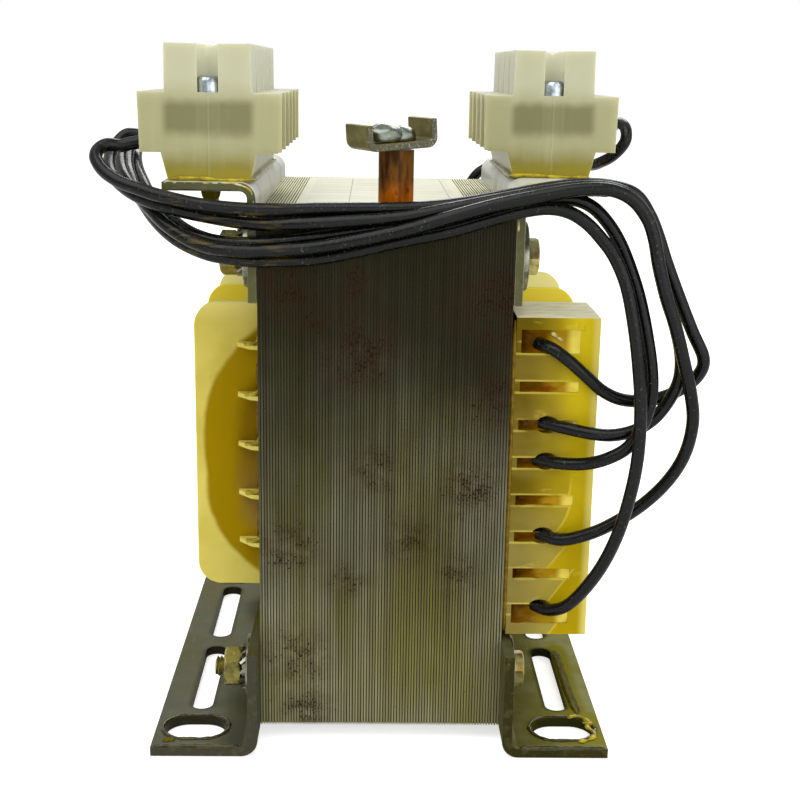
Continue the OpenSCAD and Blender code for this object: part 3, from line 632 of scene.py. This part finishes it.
def softened(node, look, slot, width):
    """Copy of a CAD node with its sharp edges rounded by width mm."""
    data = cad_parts[node].data.copy()
    data.shade_smooth()
    piece = new_object("soft_" + node, data)
    for kind, settings in (
            ("WELD", {"merge_threshold": WELD * MM}),
            ("DECIMATE", {"decimate_type": "DISSOLVE", "angle_limit": math.radians(1)}),
            ("BEVEL", {"width": width * MM, "segments": 2, "limit_method": "ANGLE",
                       "angle_limit": math.radians(35), "miter_outer": "MITER_ARC"}),
            ("WEIGHTED_NORMAL", {"weight": 80})):
        modifier = piece.modifiers.new(kind, kind)
        for key, value in settings.items():
            setattr(modifier, key, value)
    graph = bpy.context.evaluated_depsgraph_get()
    made = bpy.data.meshes.new_from_object(
        piece.evaluated_get(graph), preserve_all_data_layers=True, depsgraph=graph)
    piece.modifiers.clear()
    piece.data = made
    finished(piece, look, slot, node)


def solids_of(node):
    """Low corner, high corner and middle in mm of each solid of a CAD node."""
    bm = bmesh.new()
    bm.from_mesh(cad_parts[node].data)
    bmesh.ops.remove_doubles(bm, verts=bm.verts, dist=WELD * MM)
    left = set(bm.verts)
    boxes = []
    while left:
        stack = [left.pop()]
        group = []
        while stack:
            vert = stack.pop()
            group.append(vert.co / MM)
            found = {edge.other_vert(vert) for edge in vert.link_edges} & left
            left -= found
            stack += found
        low, high = (Vector([end(v[i] for v in group) for i in range(3)]) for end in (min, max))
        boxes.append((low, high, (low + high) / 2))
    bm.free()
    return sorted(boxes, key=lambda b: (round(b[0].x, 1), b[0].y, b[0].z))


def grid(rings, caps=True):
    """(verts, faces) of a tube through rings of equally many points."""
    n = len(rings[0])
    verts = [p for ring in rings for p in ring]
    faces = [(i * n + k, (i + 1) * n + k, (i + 1) * n + (k + 1) % n, i * n + (k + 1) % n)
             for i in range(len(rings) - 1) for k in range(n)]
    if caps:
        faces += [tuple(range(n)), tuple(range((len(rings) - 1) * n, len(rings) * n))]
    return verts, faces


def circle(sides):
    return [2 * math.pi * k / sides for k in range(sides)]


def ring_x(x, y, z, radius, sides, turn=0.0):
    """Ring of points round the X axis through (y, z); radius may depend on angle."""
    points = []
    for a in circle(sides):
        r = radius(a) if callable(radius) else radius
        points.append((x, y + r * math.cos(a + turn), z + r * math.sin(a + turn)))
    return points


def hex_body(x0, x1, middle, across, turn, low_cut=True):
    """Hexagonal prism along X with 30 degree chamfers on its corners."""
    rings = []
    for t in (0.0, 0.04, 0.08, 0.13, 0.19, 0.5, 0.81, 0.87, 0.92, 0.96, 1.0):
        x = x0 + t * (x1 - x0)
        chamfer = across * 0.475 + 1.7 * (min(x - x0, x1 - x) if low_cut else x1 - x)

        def radius(a):
            flat = across / 2 / math.cos((a + math.pi / 6) % (math.pi / 3) - math.pi / 6)
            return min(flat, chamfer)
        rings.append(ring_x(x, middle.y, middle.z, radius, 72, turn))
    return grid(rings)


def threaded(y, z, start, end, radius, pitch, sides):
    """Rod with an outer thread along X from start to end."""
    rings = []
    steps = max(8, int(abs(end - start) / pitch * 8))
    for i in range(steps + 1):
        x = start + (end - start) * i / steps
        tip = min(1.0, abs(end - x) / (0.5 * pitch))

        def wave(a):
            phase = (x / pitch + a / (2 * math.pi)) % 1
            return radius * (0.84 + 0.16 * tip) - 0.6 * pitch * abs(2 * phase - 1)
        rings.append(ring_x(x, y, z, wave, sides))
    return grid(rings)


def lathe(profile, centre):
    """(verts, faces) of a solid turned about the vertical through centre."""
    return grid([[(centre.x + r * math.cos(a), centre.y + r * math.sin(a), z)
                  for a in circle(32)] for r, z in profile])


# ---------- leads

# for each lead its length and x, y, z of the points on its middle line, in mm
LEADS = {
    "front_lead_1": (178, """
    27.2 -37.6 76.2  29.5 -40.1 75.8  32.5 -41.3 73.8  35.8 -41.2 70.9  38.7 -40.8 68.4
    41.9 -40.6 66.9  45.7 -40.6 66.6  49.6 -41 67.5  52.9 -41.6 69.4  55.2 -42.2 71.8
    55.8 -42.6 74.9  53.5 -42.5 79.7  51.1 -42.2 85.1  48.5 -41.8 91.3  46.8 -41.5 95.9
    45.1 -41.3 99.6  42.5 -41.2 103  38.3 -41.2 104.4  33 -41.2 104.6  26.9 -41.2 103.8
    19.2 -41.2 102.3  10.7 -41.2 100.8  2.2 -41.2 100.1  -11.1 -41.7 99.9  -21.6 -42.6 99.7
    -30.9 -43.2 100.4  -38.3 -43.2 101.9  -42.1 -42.6 103  -45.5 -41 104  -48.4 -39 105.6
    -50.1 -36.6 107.5  -50 -34.8 108.9  -48.6 -33.6 109.7  -46.5 -32.9 109.5  -44.8 -32.65 109.9
    -41.4 -32.65 110.5"""),
    "front_lead_2": (178, """
    28.4 -38 61.7  32.2 -41 61.6  36.5 -42.7 61.1  40.5 -43.4 61  44.5 -43.4 62  47.7 -43.4 64.2
    50 -43.5 67.5  51.4 -44 71.2  51.4 -44.3 75.6  50 -44.5 80.9  48.1 -44.5 85.9  46.5 -44.3 91.4
    45.6 -44 95.7  44.2 -43.8 99.3  41.6 -43.6 102.7  37.7 -43.6 104.3  32.5 -43.6 104.4
    26.6 -43.6 103.6  19 -43.6 102.1  10.6 -43.6 100.4  2.2 -43.6 98.8  -11 -43.2 97.7
    -21.6 -42 97.2  -30.2 -41.3 98.2  -37.3 -41.1 99.7  -41.6 -40.4 101.1  -44.4 -38.8 102.3
    -46.9 -36 103.8  -48.5 -32.4 105.1  -49.3 -29 106.5  -49.4 -26 108  -48.7 -23.6 109.5
    -47.2 -22.3 110.9  -44.6 -21.95 110.8  -41.4 -21.95 110.5"""),
    "front_lead_3": (196, """
    27.6 -38 54.9  31.6 -41.3 55.1  35.9 -43.5 55.7  39.4 -45.5 57.3  42.7 -46.2 59.6
    44.9 -46.2 63.3  46.2 -46.2 68.1  46.1 -46.1 73.1  45 -45.7 79.3  43.5 -45.1 85.5  42 -44.4 90
    40 -43.6 94.7  37.7 -43 98.3  34.9 -42.5 101  31.4 -42.4 102.2  26.9 -42 101.5
    19.3 -41.2 99.7  10.8 -41.2 98.3  2.2 -41.2 97.3  -11.1 -41.2 95.2  -21.7 -41.2 93.9
    -28.2 -41.1 94  -31.6 -40.4 94.6  -34.3 -38.8 95.5  -36.6 -36.2 96.5  -39 -32.6 97.8
    -41.2 -28 99  -43.5 -22.6 100.4  -45.5 -16.6 102.1  -47.5 -10 103.8  -49 -3 105.6
    -49.7 3.4 107.3  -49.4 8 108.6  -45.4 9.9 110.2  -41.4 10.15 110.5"""),
    "front_lead_4": (204, """
    28.7 -38 40.7  32 -40.9 40.5  35.9 -42.4 41.7  40.3 -43.7 44.1  45.8 -44.8 48.3
    50.1 -45.5 53.1  52.8 -45.9 58.2  53.8 -46.2 63.9  53.1 -46.6 69  51.4 -46.8 75.1
    49.6 -46.9 81  47.7 -46.9 86.2  46.1 -46.8 91.6  45.1 -46.5 96  43.8 -46.2 99.4
    41.1 -46 102.6  37.3 -46 104.2  32.1 -46 104.2  26.3 -46 103.2  18.8 -46 101.6  11.3 -46 99.5
    2.2 -45.4 96.7  -11 -43.8 93.8  -21.5 -43.6 92.8  -28 -43.5 93  -31.4 -43.2 93.6
    -34.5 -42.6 94.9  -37.9 -41 96.9  -40.9 -37.8 99.1  -43.5 -34 100.9  -45.9 -29.6 102.7
    -47.9 -24.4 104.5  -49.1 -19.4 106.4  -49.4 -15 108.1  -48.5 -12.4 109.6  -45.8 -11.3 110.4
    -41.4 -11.25 110.5"""),
    "front_lead_5": (208, """
    28.4 -38 26.6  31.1 -40.8 26.7  34.5 -43.5 29.3  38.5 -46.2 36.1  41.2 -48 43.4  43 -48.7 51.1
    44 -48.9 58.9  44 -48.7 67.3  43.3 -48.4 74.3  42.2 -48 81.3  40.7 -47.2 88  38.6 -46.4 92.8
    36.3 -45.6 95.9  33.7 -45 98.5  30.8 -44.6 100.2  27.5 -44.3 100.8  23.5 -44 100.3
    17.4 -43.6 98.6  10.7 -43.6 96.6  2.2 -43 94.7  -11.1 -41.5 91.5  -21.8 -41.2 90.8
    -28.6 -41.2 91.4  -32 -41.2 92.3  -35.3 -40.4 93.7  -38.1 -38.4 95.3  -40.6 -35 97
    -42.9 -30.4 98.8  -45.2 -25 100.6  -47.1 -19.2 102.4  -48.7 -13.4 104.2  -49.7 -8 106.1
    -49.8 -3.8 107.8  -47.4 -1.2 109.2  -44.8 -0.6 110.4  -41.4 -0.55 110.5"""),
    "back_lead_1": (122, """
    28.4 38 54.6  30.8 40.6 55.2  31 42.7 57.6  29.3 44.2 61.8  27.6 45 68  26.4 45.2 76
    26.6 45.2 84  28.4 45.1 91  32.2 44.6 96.6  37 43.2 100.6  41 39.6 102.9  42.5 33 104
    42.4 25 104.4  42.3 16 104.5  42.4 8 104.6  43.5 3 105.5  45.5 -1 107.3  47.3 -2.7 110
    47.6 -1.2 112.4  46.9 1.8 113.5  45.9 4.8 112.6  44.3 6.5 110.9  41.4 6.75 110.5"""),
    "back_lead_2": (91, """
    27.6 37.8 62.4  28.2 40.4 62.8  26.8 42.5 65.4  23.6 43.8 70.4  20.8 44.2 77  19.3 44.2 84
    18.8 44.2 90.5  19.6 44.1 96  21.7 43.8 99.8  25 43.4 101.9  29.4 43.1 103.6  34.2 42.2 105.3
    39 39.6 106.5  43.4 34.8 107.4  46 28 108.4  46.6 22.4 109.8  45.2 18.4 110.7
    41.4 17.45 110.5"""),
}


def smooth_route(points, steps):
    """Points of a Catmull-Rom curve through the route, in metres."""
    p = [np.array(q, float) * MM for q in points]
    out = []
    for i in range(len(p) - 1):
        a, b, c, d = p[max(i - 1, 0)], p[i], p[i + 1], p[min(i + 2, len(p) - 1)]
        for j in range(steps):
            t = j / steps
            out.append(0.5 * (2 * b + (c - a) * t + (2 * a - 5 * b + 4 * c - d) * t * t
                              + (3 * b - a - 3 * c + d) * t ** 3))
    return out + [p[-1]]


def make_leads():
    for node, (length, route) in LEADS.items():
        path = smooth_route(np.reshape(route.split(), (-1, 3)), 6)
        data = bpy.data.curves.new("sleeve_" + node, "CURVE")
        data.dimensions = "3D"
        data.bevel_depth = LEAD_D / 2 * MM
        data.bevel_resolution = 5
        data.use_fill_caps = True
        spline = data.splines.new("POLY")
        spline.points.add(len(path) - 1)
        for point, place in zip(spline.points, path):
            point.co = (*place, 1)
        spline.use_smooth = True
        lead = new_object(data.name, data)
        finished(lead, "lead_black", "lead_black", node)


make_leads()


# ---------- core

def e_outline(low, high, gap):
    """(y, z) points round an E sheet, gap inside its edges; three limbs look back."""
    unit = (high.z - low.z) / 6
    front, root, back = low.y + gap, low.y + unit - gap, high.y - gap
    points = [(front, low.z + gap), (back, low.z + gap)]
    for window in (1, 4):
        z0, z1 = low.z + window * unit - gap, low.z + (window + 1) * unit + gap
        points += [(back, z0), (root, z0), (root, z1), (back, z1)]
    return points + [(back, high.z - gap), (front, high.z - gap)]


def i_outline(low, high, gap):
    """(y, z) points round an I sheet, which closes the E behind its limbs."""
    y0, y1, z0, z1 = high.y + gap, -low.y - gap, low.z + gap, high.z - gap
    return [(y0, z0), (y1, z0), (y1, z1), (y0, z1)]


def sheet(outline, x0, x1):
    return grid([[(x, y, z) for y, z in outline] for x in (x0, x1)])


def make_core():
    low, high = box_mm("core_e_stack")
    pitch = (high.x - low.x) / SHEETS
    for name, outline, node in (("e_sheets", e_outline, "core_e_stack"),
                                ("i_sheets", i_outline, "core_i_stack")):
        sheets = []
        for k in range(SHEETS):
            x0 = low.x + k * pitch + GAP / 2
            dy, dz = random.uniform(-0.03, 0.03), random.uniform(-0.02, 0.03)
            moved = [(y + dy, z + dz) for y, z in outline(low, high, 0)]
            sheets.append(sheet(moved, x0, x0 + pitch - GAP))
        mesh_piece(name, sheets, "laminations", "laminations", node)
        varnish = sheet(outline(low, high, GAP_DEPTH), low.x + GAP, high.x - GAP)
        mesh_piece("gaps_of_" + name, [varnish], "gap_varnish", "laminations")


make_core()


# ---------- hardware

def make_nuts_and_bolts():
    nuts = [hex_body(low.x, high.x, middle, NUT_ACROSS, 0)
            for low, high, middle in solids_of("clamp_nuts")]
    bolts = []
    for low, high, middle in solids_of("clamp_bolts"):
        seat = high.x - HEAD_H
        turn = math.radians(15 if middle.z < 50 else 30)
        bolts.append(hex_body(seat, high.x, middle, HEAD_ACROSS, turn, low_cut=False))
        bolts.append(threaded(middle.y, middle.z, seat, low.x, 1.98, 0.7, 24))
    mesh_piece("chamfered_nuts", nuts, "bolt_zinc", "bolt_zinc", "clamp_nuts", smooth=32)
    mesh_piece("threaded_bolts", bolts, "bolt_zinc", "bolt_zinc", "clamp_bolts", smooth=32)


def make_toothed_washers():
    """Rings with teeth twisted out of their plane."""
    parts = []
    twist = Matrix.Rotation(math.radians(42), 3, "Z")
    for low, high, middle in solids_of("toothed_washers"):
        reach = (high.z - low.z) / 2
        rings = [ring_x(middle.x + dx, middle.y, middle.z, r, 36) for dx, r in (
            (-0.3, 2.2), (-0.3, reach - 1.1), (0.3, reach - 1.1), (0.3, 2.2), (-0.3, 2.2))]
        parts.append(grid(rings, caps=False))
        for a in circle(14):
            spin = Matrix.Rotation(a, 3, "X")
            tooth = [[twist @ Vector((s * 0.78, t * 0.24, 0)) + Vector((0, 0, r))
                      for s, t in ((-1, -1), (1, -1), (1, 1), (-1, 1))]
                     for r in (reach - 2.0, reach)]
            parts.append(grid([[spin @ p + middle for p in ring] for ring in tooth]))
    mesh_piece("twisted_teeth", parts, "washer_steel", "washer_steel", "toothed_washers")


make_nuts_and_bolts()
make_toothed_washers()
softened("plain_washers", "washer_steel", "washer_steel", 0.25)


# ---------- plates, plastic and top

for side in ("left", "right"):
    softened(side + "_foot", side + "_foot_zinc", "foot_zinc", 0.4)
    softened(side + "_terminal_bracket", "bracket_zinc", "bracket_zinc", 0.3)
    softened(side + "_terminal_block", side + "_strip_nylon", "strip_nylon", 0.42)
for end in ("front", "middle", "rear"):
    softened(end + "_flange", "bobbin_nylon", "bobbin_nylon", 0.25)
for end in ("front", "rear"):
    softened(end + "_lead_comb", "comb_nylon", "comb_nylon", 0.3)
softened("earth_lug", "lug_brass", "lug_brass", 0.2)


def make_strip_screws():
    """Screws with pan heads; resin has run down their threaded tips."""
    drips = []
    for side in ("left", "right"):
        node = side + "_mounting_screws"
        screws = []
        for low, high, middle in solids_of(node):
            seat, r = high.z - PAN_H, (high.x - low.x) / 2
            head = [(0.05, seat), (r, seat), (r, high.z - 0.7), (r - 0.25, high.z - 0.25),
                    (r - 0.8, high.z), (0.05, high.z)]
            rod, faces = threaded(0, 0, 0, low.z - seat, 1.48, 0.5, 20)
            upright = [(middle.x + y, middle.y + z, seat + x) for x, y, z in rod]
            screws += [lathe(head, middle), (upright, faces)]
            drop = ((0.1, -0.5), (0.7, -0.35), (1.2, 0.2), (1.6, 1.1), (1.8, 2.2), (0.1, 2.3))
            drips.append(lathe([(r, low.z + up) for r, up in drop], middle))
        mesh_piece("pan_head_" + node, screws, "screw_zinc", "screw_zinc", node, smooth=35)
    mesh_piece("resin_on_screw_tips", drips, "olive_resin", "bolt_zinc", smooth=60)


make_strip_screws()


def paint(look, *nodes):
    """Give CAD nodes that stay as they are their look."""
    for node in nodes:
        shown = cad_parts[node]
        if not shown.material_slots:
            shown.data.materials.append(LOOKS[look])
        for place in shown.material_slots:
            place.material = LOOKS[look]


paint("clamp_brass", "left_terminal_clamps", "right_terminal_clamps")
paint("screw_zinc", "left_terminal_screws", "right_terminal_screws")
paint("tube_nylon", "bobbin_tube")
paint("winding_copper", "front_winding", "rear_winding")
paint("label", "nameplate")
paint("post_copper", "earth_post")


# ---------- resin

def bead(seed, points, radius, lump, flat=1.0):
    """(verts, faces) of an uneven bead of resin along a route in mm.

    flat below 1 makes the bead lower than it is wide.
    """
    path = [Vector(p) / MM for p in smooth_route(points, 8)]
    rings = []
    for i, p in enumerate(path):
        ahead = (path[min(i + 1, len(path) - 1)] - path[max(i - 1, 0)]).normalized()
        up = Vector((0, 0, 1)) if abs(ahead.z) < 0.9 else Vector((1, 0, 0))
        across = ahead.cross(up).normalized()
        up = across.cross(ahead)
        taper = min(1.0, 0.35 + min(i, len(path) - 1 - i) / 3)
        size = radius * taper * (1 + lump * noise.noise(p * 0.9 + Vector((seed, 0, 0))))
        rings.append([tuple(p + size * (math.cos(a) * across + flat * math.sin(a) * up))
                      for a in circle(10)])
    return grid(rings)


def bead_piece(name, beads, look, slot):
    parts = [bead(k * 3.7, *shape) for k, shape in enumerate(beads)]
    mesh_piece(name, parts, look, slot, smooth=70)


def make_comb_resin():
    """Amber resin standing in the gaps of both combs."""
    parts = []
    half = COMB_GAP / 2
    for node, sign, blocks in (("front_lead_comb", 1, 7), ("rear_lead_comb", -1, 5)):
        low, high, pitch, gap_z = comb_layout(node, blocks)
        gaps = [(gap_z + i * pitch - half, gap_z + i * pitch + half) for i in range(1, blocks)]
        gaps += [(gap_z + blocks * pitch - half, high.z - COMB_BAR),
                 (low.z + COMB_BAR, gap_z + half)]
        mouth = low.y if sign > 0 else high.y
        parts += [fill(low.x + 0.9, high.x - COMB_PLATE, z0, z1, mouth, sign) for z0, z1 in gaps]
    mesh_piece("resin_in_combs", parts, "amber_resin", "comb_nylon", smooth=50)


def fill(x0, x1, z0, z1, mouth, sign, across=30, up=7):
    """(verts, faces) of resin in one gap, hollow in the middle like a liquid."""
    rings = []
    for i in range(across + 1):
        u = i / across
        x = x0 + (x1 - x0) * u
        front, back = [], []
        for j in range(up + 1):
            v = j / up
            z = z0 + (z1 - z0) * v
            edge = max(abs(2 * u - 1) ** 6, abs(2 * v - 1) ** 3)
            depth = 1.1 - 0.9 * edge + 0.9 * noise.noise(Vector((x * 0.35, z * 0.5, 3)))
            depth += 1.5 * max(0.0, 1 - 2.2 * u) * (1 - edge)
            front.append((x, mouth + sign * max(0.12, depth), z))
            back.append((x, mouth + sign * 6.0, z))
        rings.append(front + back[::-1])
    return grid(rings)


def make_resin_beads_and_glints():
    """Beads along the strips, brackets, feet, slots and ribs, and beside the combs; the pale bead
    on each bracket is a painted highlight.
    """
    dark, pale, brown = [], [], []
    # what ran together on the feet
    olive = [([(-40.2, -44.4, 1.85), (-39.2, -44.2, 1.9), (-38.0, -44.3, 1.85)],
              0.8, 0.5, 0.35),
             ([(37.9, -3.5, 1.75), (38.0, -14, 1.8), (38.1, -24, 1.8), (38.6, -33, 1.8)],
              0.9, 0.15, 0.35)]
    yellow = []
    for side, sign in (("left", -1), ("right", 1)):
        low, high = box_mm(side + "_terminal_block")
        x0, x1 = ((low.x + high.x) / 2 - sign * 0.25 + reach for reach in (-7.2, 7.2))
        z = low.z + 0.35
        for y in (low.y - 0.05, high.y + 0.05):
            yellow.append(([(x0, y, z), (x0 + 4.2, y, z + 0.2), (x0 + 9.2, y, z - 0.1),
                            (x1, y, z)], 0.3, 0.8))
        for x in (x0, x1):
            yellow.append(([(x, y, z) for y in (low.y, (low.y + high.y) / 2, high.y)], 0.32, 0.9))
        # front edge of the bracket under the strip; the thin pale bead along it is a painted
        # highlight
        low, high = box_mm(side + "_terminal_bracket")
        inner, outer = (high.x, low.x) if sign < 0 else (low.x, high.x)
        y, top = low.y + 0.1, high.z - 0.15
        level = [(x, y, top)
                 for x in (outer, outer - sign * 4, outer - sign * 9, inner + sign * 4)]
        bend = [(inner + sign * 1.2, y, top - 0.9), (inner + sign * 0.4, y, top - 3),
                (inner + sign * 0.3, y, top - 8)]
        pale.append((level + bend, 0.13, 1.6))
        dark.append(([(x, y, z - 1.1) for x, y, z in level], 0.22, 0.8))
        # front edges of the foot and the rims of its end slots
        low, high = box_mm(side + "_foot")
        inner, outer = (high.x, low.x) if sign < 0 else (low.x, high.x)
        y, top = low.y + 0.35, FOOT_T - 0.05
        dark.append(([(outer - sign * 0.5, y, top), (outer - sign * 6, y, top + 0.1),
                      (outer - sign * 12, y, top), (inner + sign * 3.4, y, top)],
                     0.45, 0.5))
        for slot_y in (-END_SLOT_Y, END_SLOT_Y):
            rim = [(sign * SLOT_X + math.copysign(1.5, math.cos(a)) + 4.75 * math.cos(a),
                    slot_y + 4.75 * math.sin(a), FOOT_T)
                   for a in [*circle(24), 2 * math.pi]]
            dark.append((rim, 0.42, 0.5, 0.7))
    yellow += [([(36.2, -34.6, 1.9), (38.5, -34.4, 2.0), (40.2, -36.5, 1.9),
                 (39.6, -38.6, 2.0), (40.6, -40.8, 1.9), (39.6, -43.2, 1.9),
                 (37.0, -44.4, 1.9)], 0.4, 0.9, 0.7),
               ([(39.4, -35.2, 1.9), (40.4, -37.4, 2.0), (38.9, -36.8, 2.0)],
                0.4, 0.8, 0.7)]
    # behind each short rib of the flanges
    low, high = box_mm("front_flange")
    for sign in (1, -1):
        for i in range(-2, 3):
            y, z = sign * (low.y + 0.8), RIB_MID_Z + i * RIB_PITCH + 0.4
            yellow.append(([(-23.1, y, z + 2.0), (-23.5, y, z + 0.9), (-24.6, y, z + 0.3),
                            (-26.2, y + sign * 1.2, z)], 0.42, 0.4))
    # where the uppermost lead leaves its comb
    pale.append(([(29.5, -38.3, 78.6), (30.4, -38.4, 77.6), (31.6, -38.3, 76.9)], 0.35, 0.6))
    # between the core and the combs
    for node, sign in (("front_lead_comb", 1), ("rear_lead_comb", -1)):
        low, high = box_mm(node)
        y = low.y + 0.55 if sign > 0 else high.y - 0.55
        brown.append(([(low.x - 0.25, y, low.z + 0.6), (low.x - 0.3, y, low.z + 18),
                       (low.x - 0.2, y, low.z + 34), (low.x - 0.25, y, high.z - 0.6)],
                      0.55, 0.3))
    bead_piece("brown_beads", brown, "tube_nylon", "comb_nylon")
    bead_piece("yellow_beads", yellow, "yellow_resin", "comb_nylon")
    bead_piece("dark_beads", dark, "dark_resin", "foot_zinc")
    bead_piece("olive_beads", olive, "olive_resin", "foot_zinc")
    bead_piece("pale_beads", pale, "pale_resin_and_glint", "comb_nylon")


make_comb_resin()
make_resin_beads_and_glints()


def dome(centre, size, seed, turn, floor):
    """Slightly lumpy drop, turned by a matrix and cut level at the floor."""
    layers = []
    for i in range(23):
        a = math.pi * i / 22
        layer = []
        for b in circle(36):
            d = Vector((math.sin(a) * math.cos(b), math.sin(a) * math.sin(b), math.cos(a)))
            r = 1 + 0.07 * noise.noise(d * 2.1 + Vector((seed, seed * 2, 0)))
            p = centre + turn @ Vector([d[k] * size[k] * r for k in range(3)])
            layer.append((p.x, p.y, max(p.z, floor)))
        layers.append(layer)
    return grid(layers, caps=False)


def make_solder():
    """Solder run across the lug from its left wall, in two joined domes."""
    low, high = box_mm("earth_lug")
    floor = low.z + 1.6
    turn = Matrix.Rotation(math.radians(24), 3, "Z")
    domes = []
    for along, deep, up, size, seed in (
            (-1.5, -0.7, 0.9, (3.6, 3.1, 2.2), 3.1), (1.2, -0.6, 0.8, (3.1, 2.8, 2.1), 1.2)):
        place = (low + high) / 2 + turn @ Vector((along, deep, 0))
        place.z = floor + up
        domes.append(dome(place, size, seed, turn, floor))
    mesh_piece("solder_blob", domes, "solder", "lug_brass", smooth=60)


make_solder()


# ---------- floor, light

def make_stage():
    data = bpy.data.meshes.new("floor")
    data.from_pydata([(x * FLOOR_REACH, y * FLOOR_REACH, -0.0002)
                      for x, y in ((-1, -1), (1, -1), (1, 1), (-1, 1))],
                     [], [(0, 1, 2, 3)])
    floor = new_object("floor", data)
    look = bpy.data.materials.new("floor")
    look.use_nodes = True
    seen = add_node(look.node_tree, "LightPath", {}).outputs["Is Camera Ray"]
    glow = add_node(look.node_tree, "Math", {0: seen, 1: FLOOR_GLOW}, operation="MULTIPLY")
    for socket, value in (("Base Color", (0.86, 0.86, 0.86, 1)), ("Roughness", 0.9),
                          ("Specular IOR Level", 0.0), ("Emission Color", (1, 1, 1, 1)),
                          ("Emission Strength", glow.outputs[0])):
        put(value, look.node_tree.nodes["Principled BSDF"].inputs[socket])
    data.materials.append(look)


def make_light(name, place, size, power):
    data = bpy.data.lights.new(name, "AREA")
    data.shape = "RECTANGLE"
    data.size, data.size_y = size
    data.energy = power
    lamp = new_object(name, data)
    lamp.location = place
    aim = Vector((0, 0, 0.05)) - Vector(place)
    lamp.rotation_euler = aim.to_track_quat("-Z", "Y").to_euler()


def make_world():
    """White room: full strength where it is seen, less where it lights the object."""
    world = bpy.data.worlds.new("studio")
    bpy.context.scene.world = world
    world.use_nodes = True
    path = add_node(world.node_tree, "LightPath", {}).outputs
    seen = add_node(world.node_tree, "Math", {
        0: path["Is Camera Ray"], 1: path["Is Transmission Ray"]}, operation="MAXIMUM")
    level = add_node(world.node_tree, "MapRange", {
        "To Min": ROOM_LIGHT, "To Max": 1.0, "Value": seen.outputs[0]})
    back = world.node_tree.nodes["Background"]
    put((1, 1, 1, 1), back.inputs["Color"])
    put(level.outputs["Result"], back.inputs["Strength"])


make_stage()
make_world()
make_light("key", (-0.25, -0.35, 0.8), (0.9, 0.9), 5.2)
make_light("front", (0.25, -0.9, 0.2), (0.9, 0.6), 1.6)
make_light("fill", (0.7, -0.6, 0.45), (1.0, 0.9), 3.1)
make_light("back", (0.1, 0.7, 0.6), (0.6, 0.4), 3.0)
bpy.context.scene.view_settings.view_transform = "Standard"
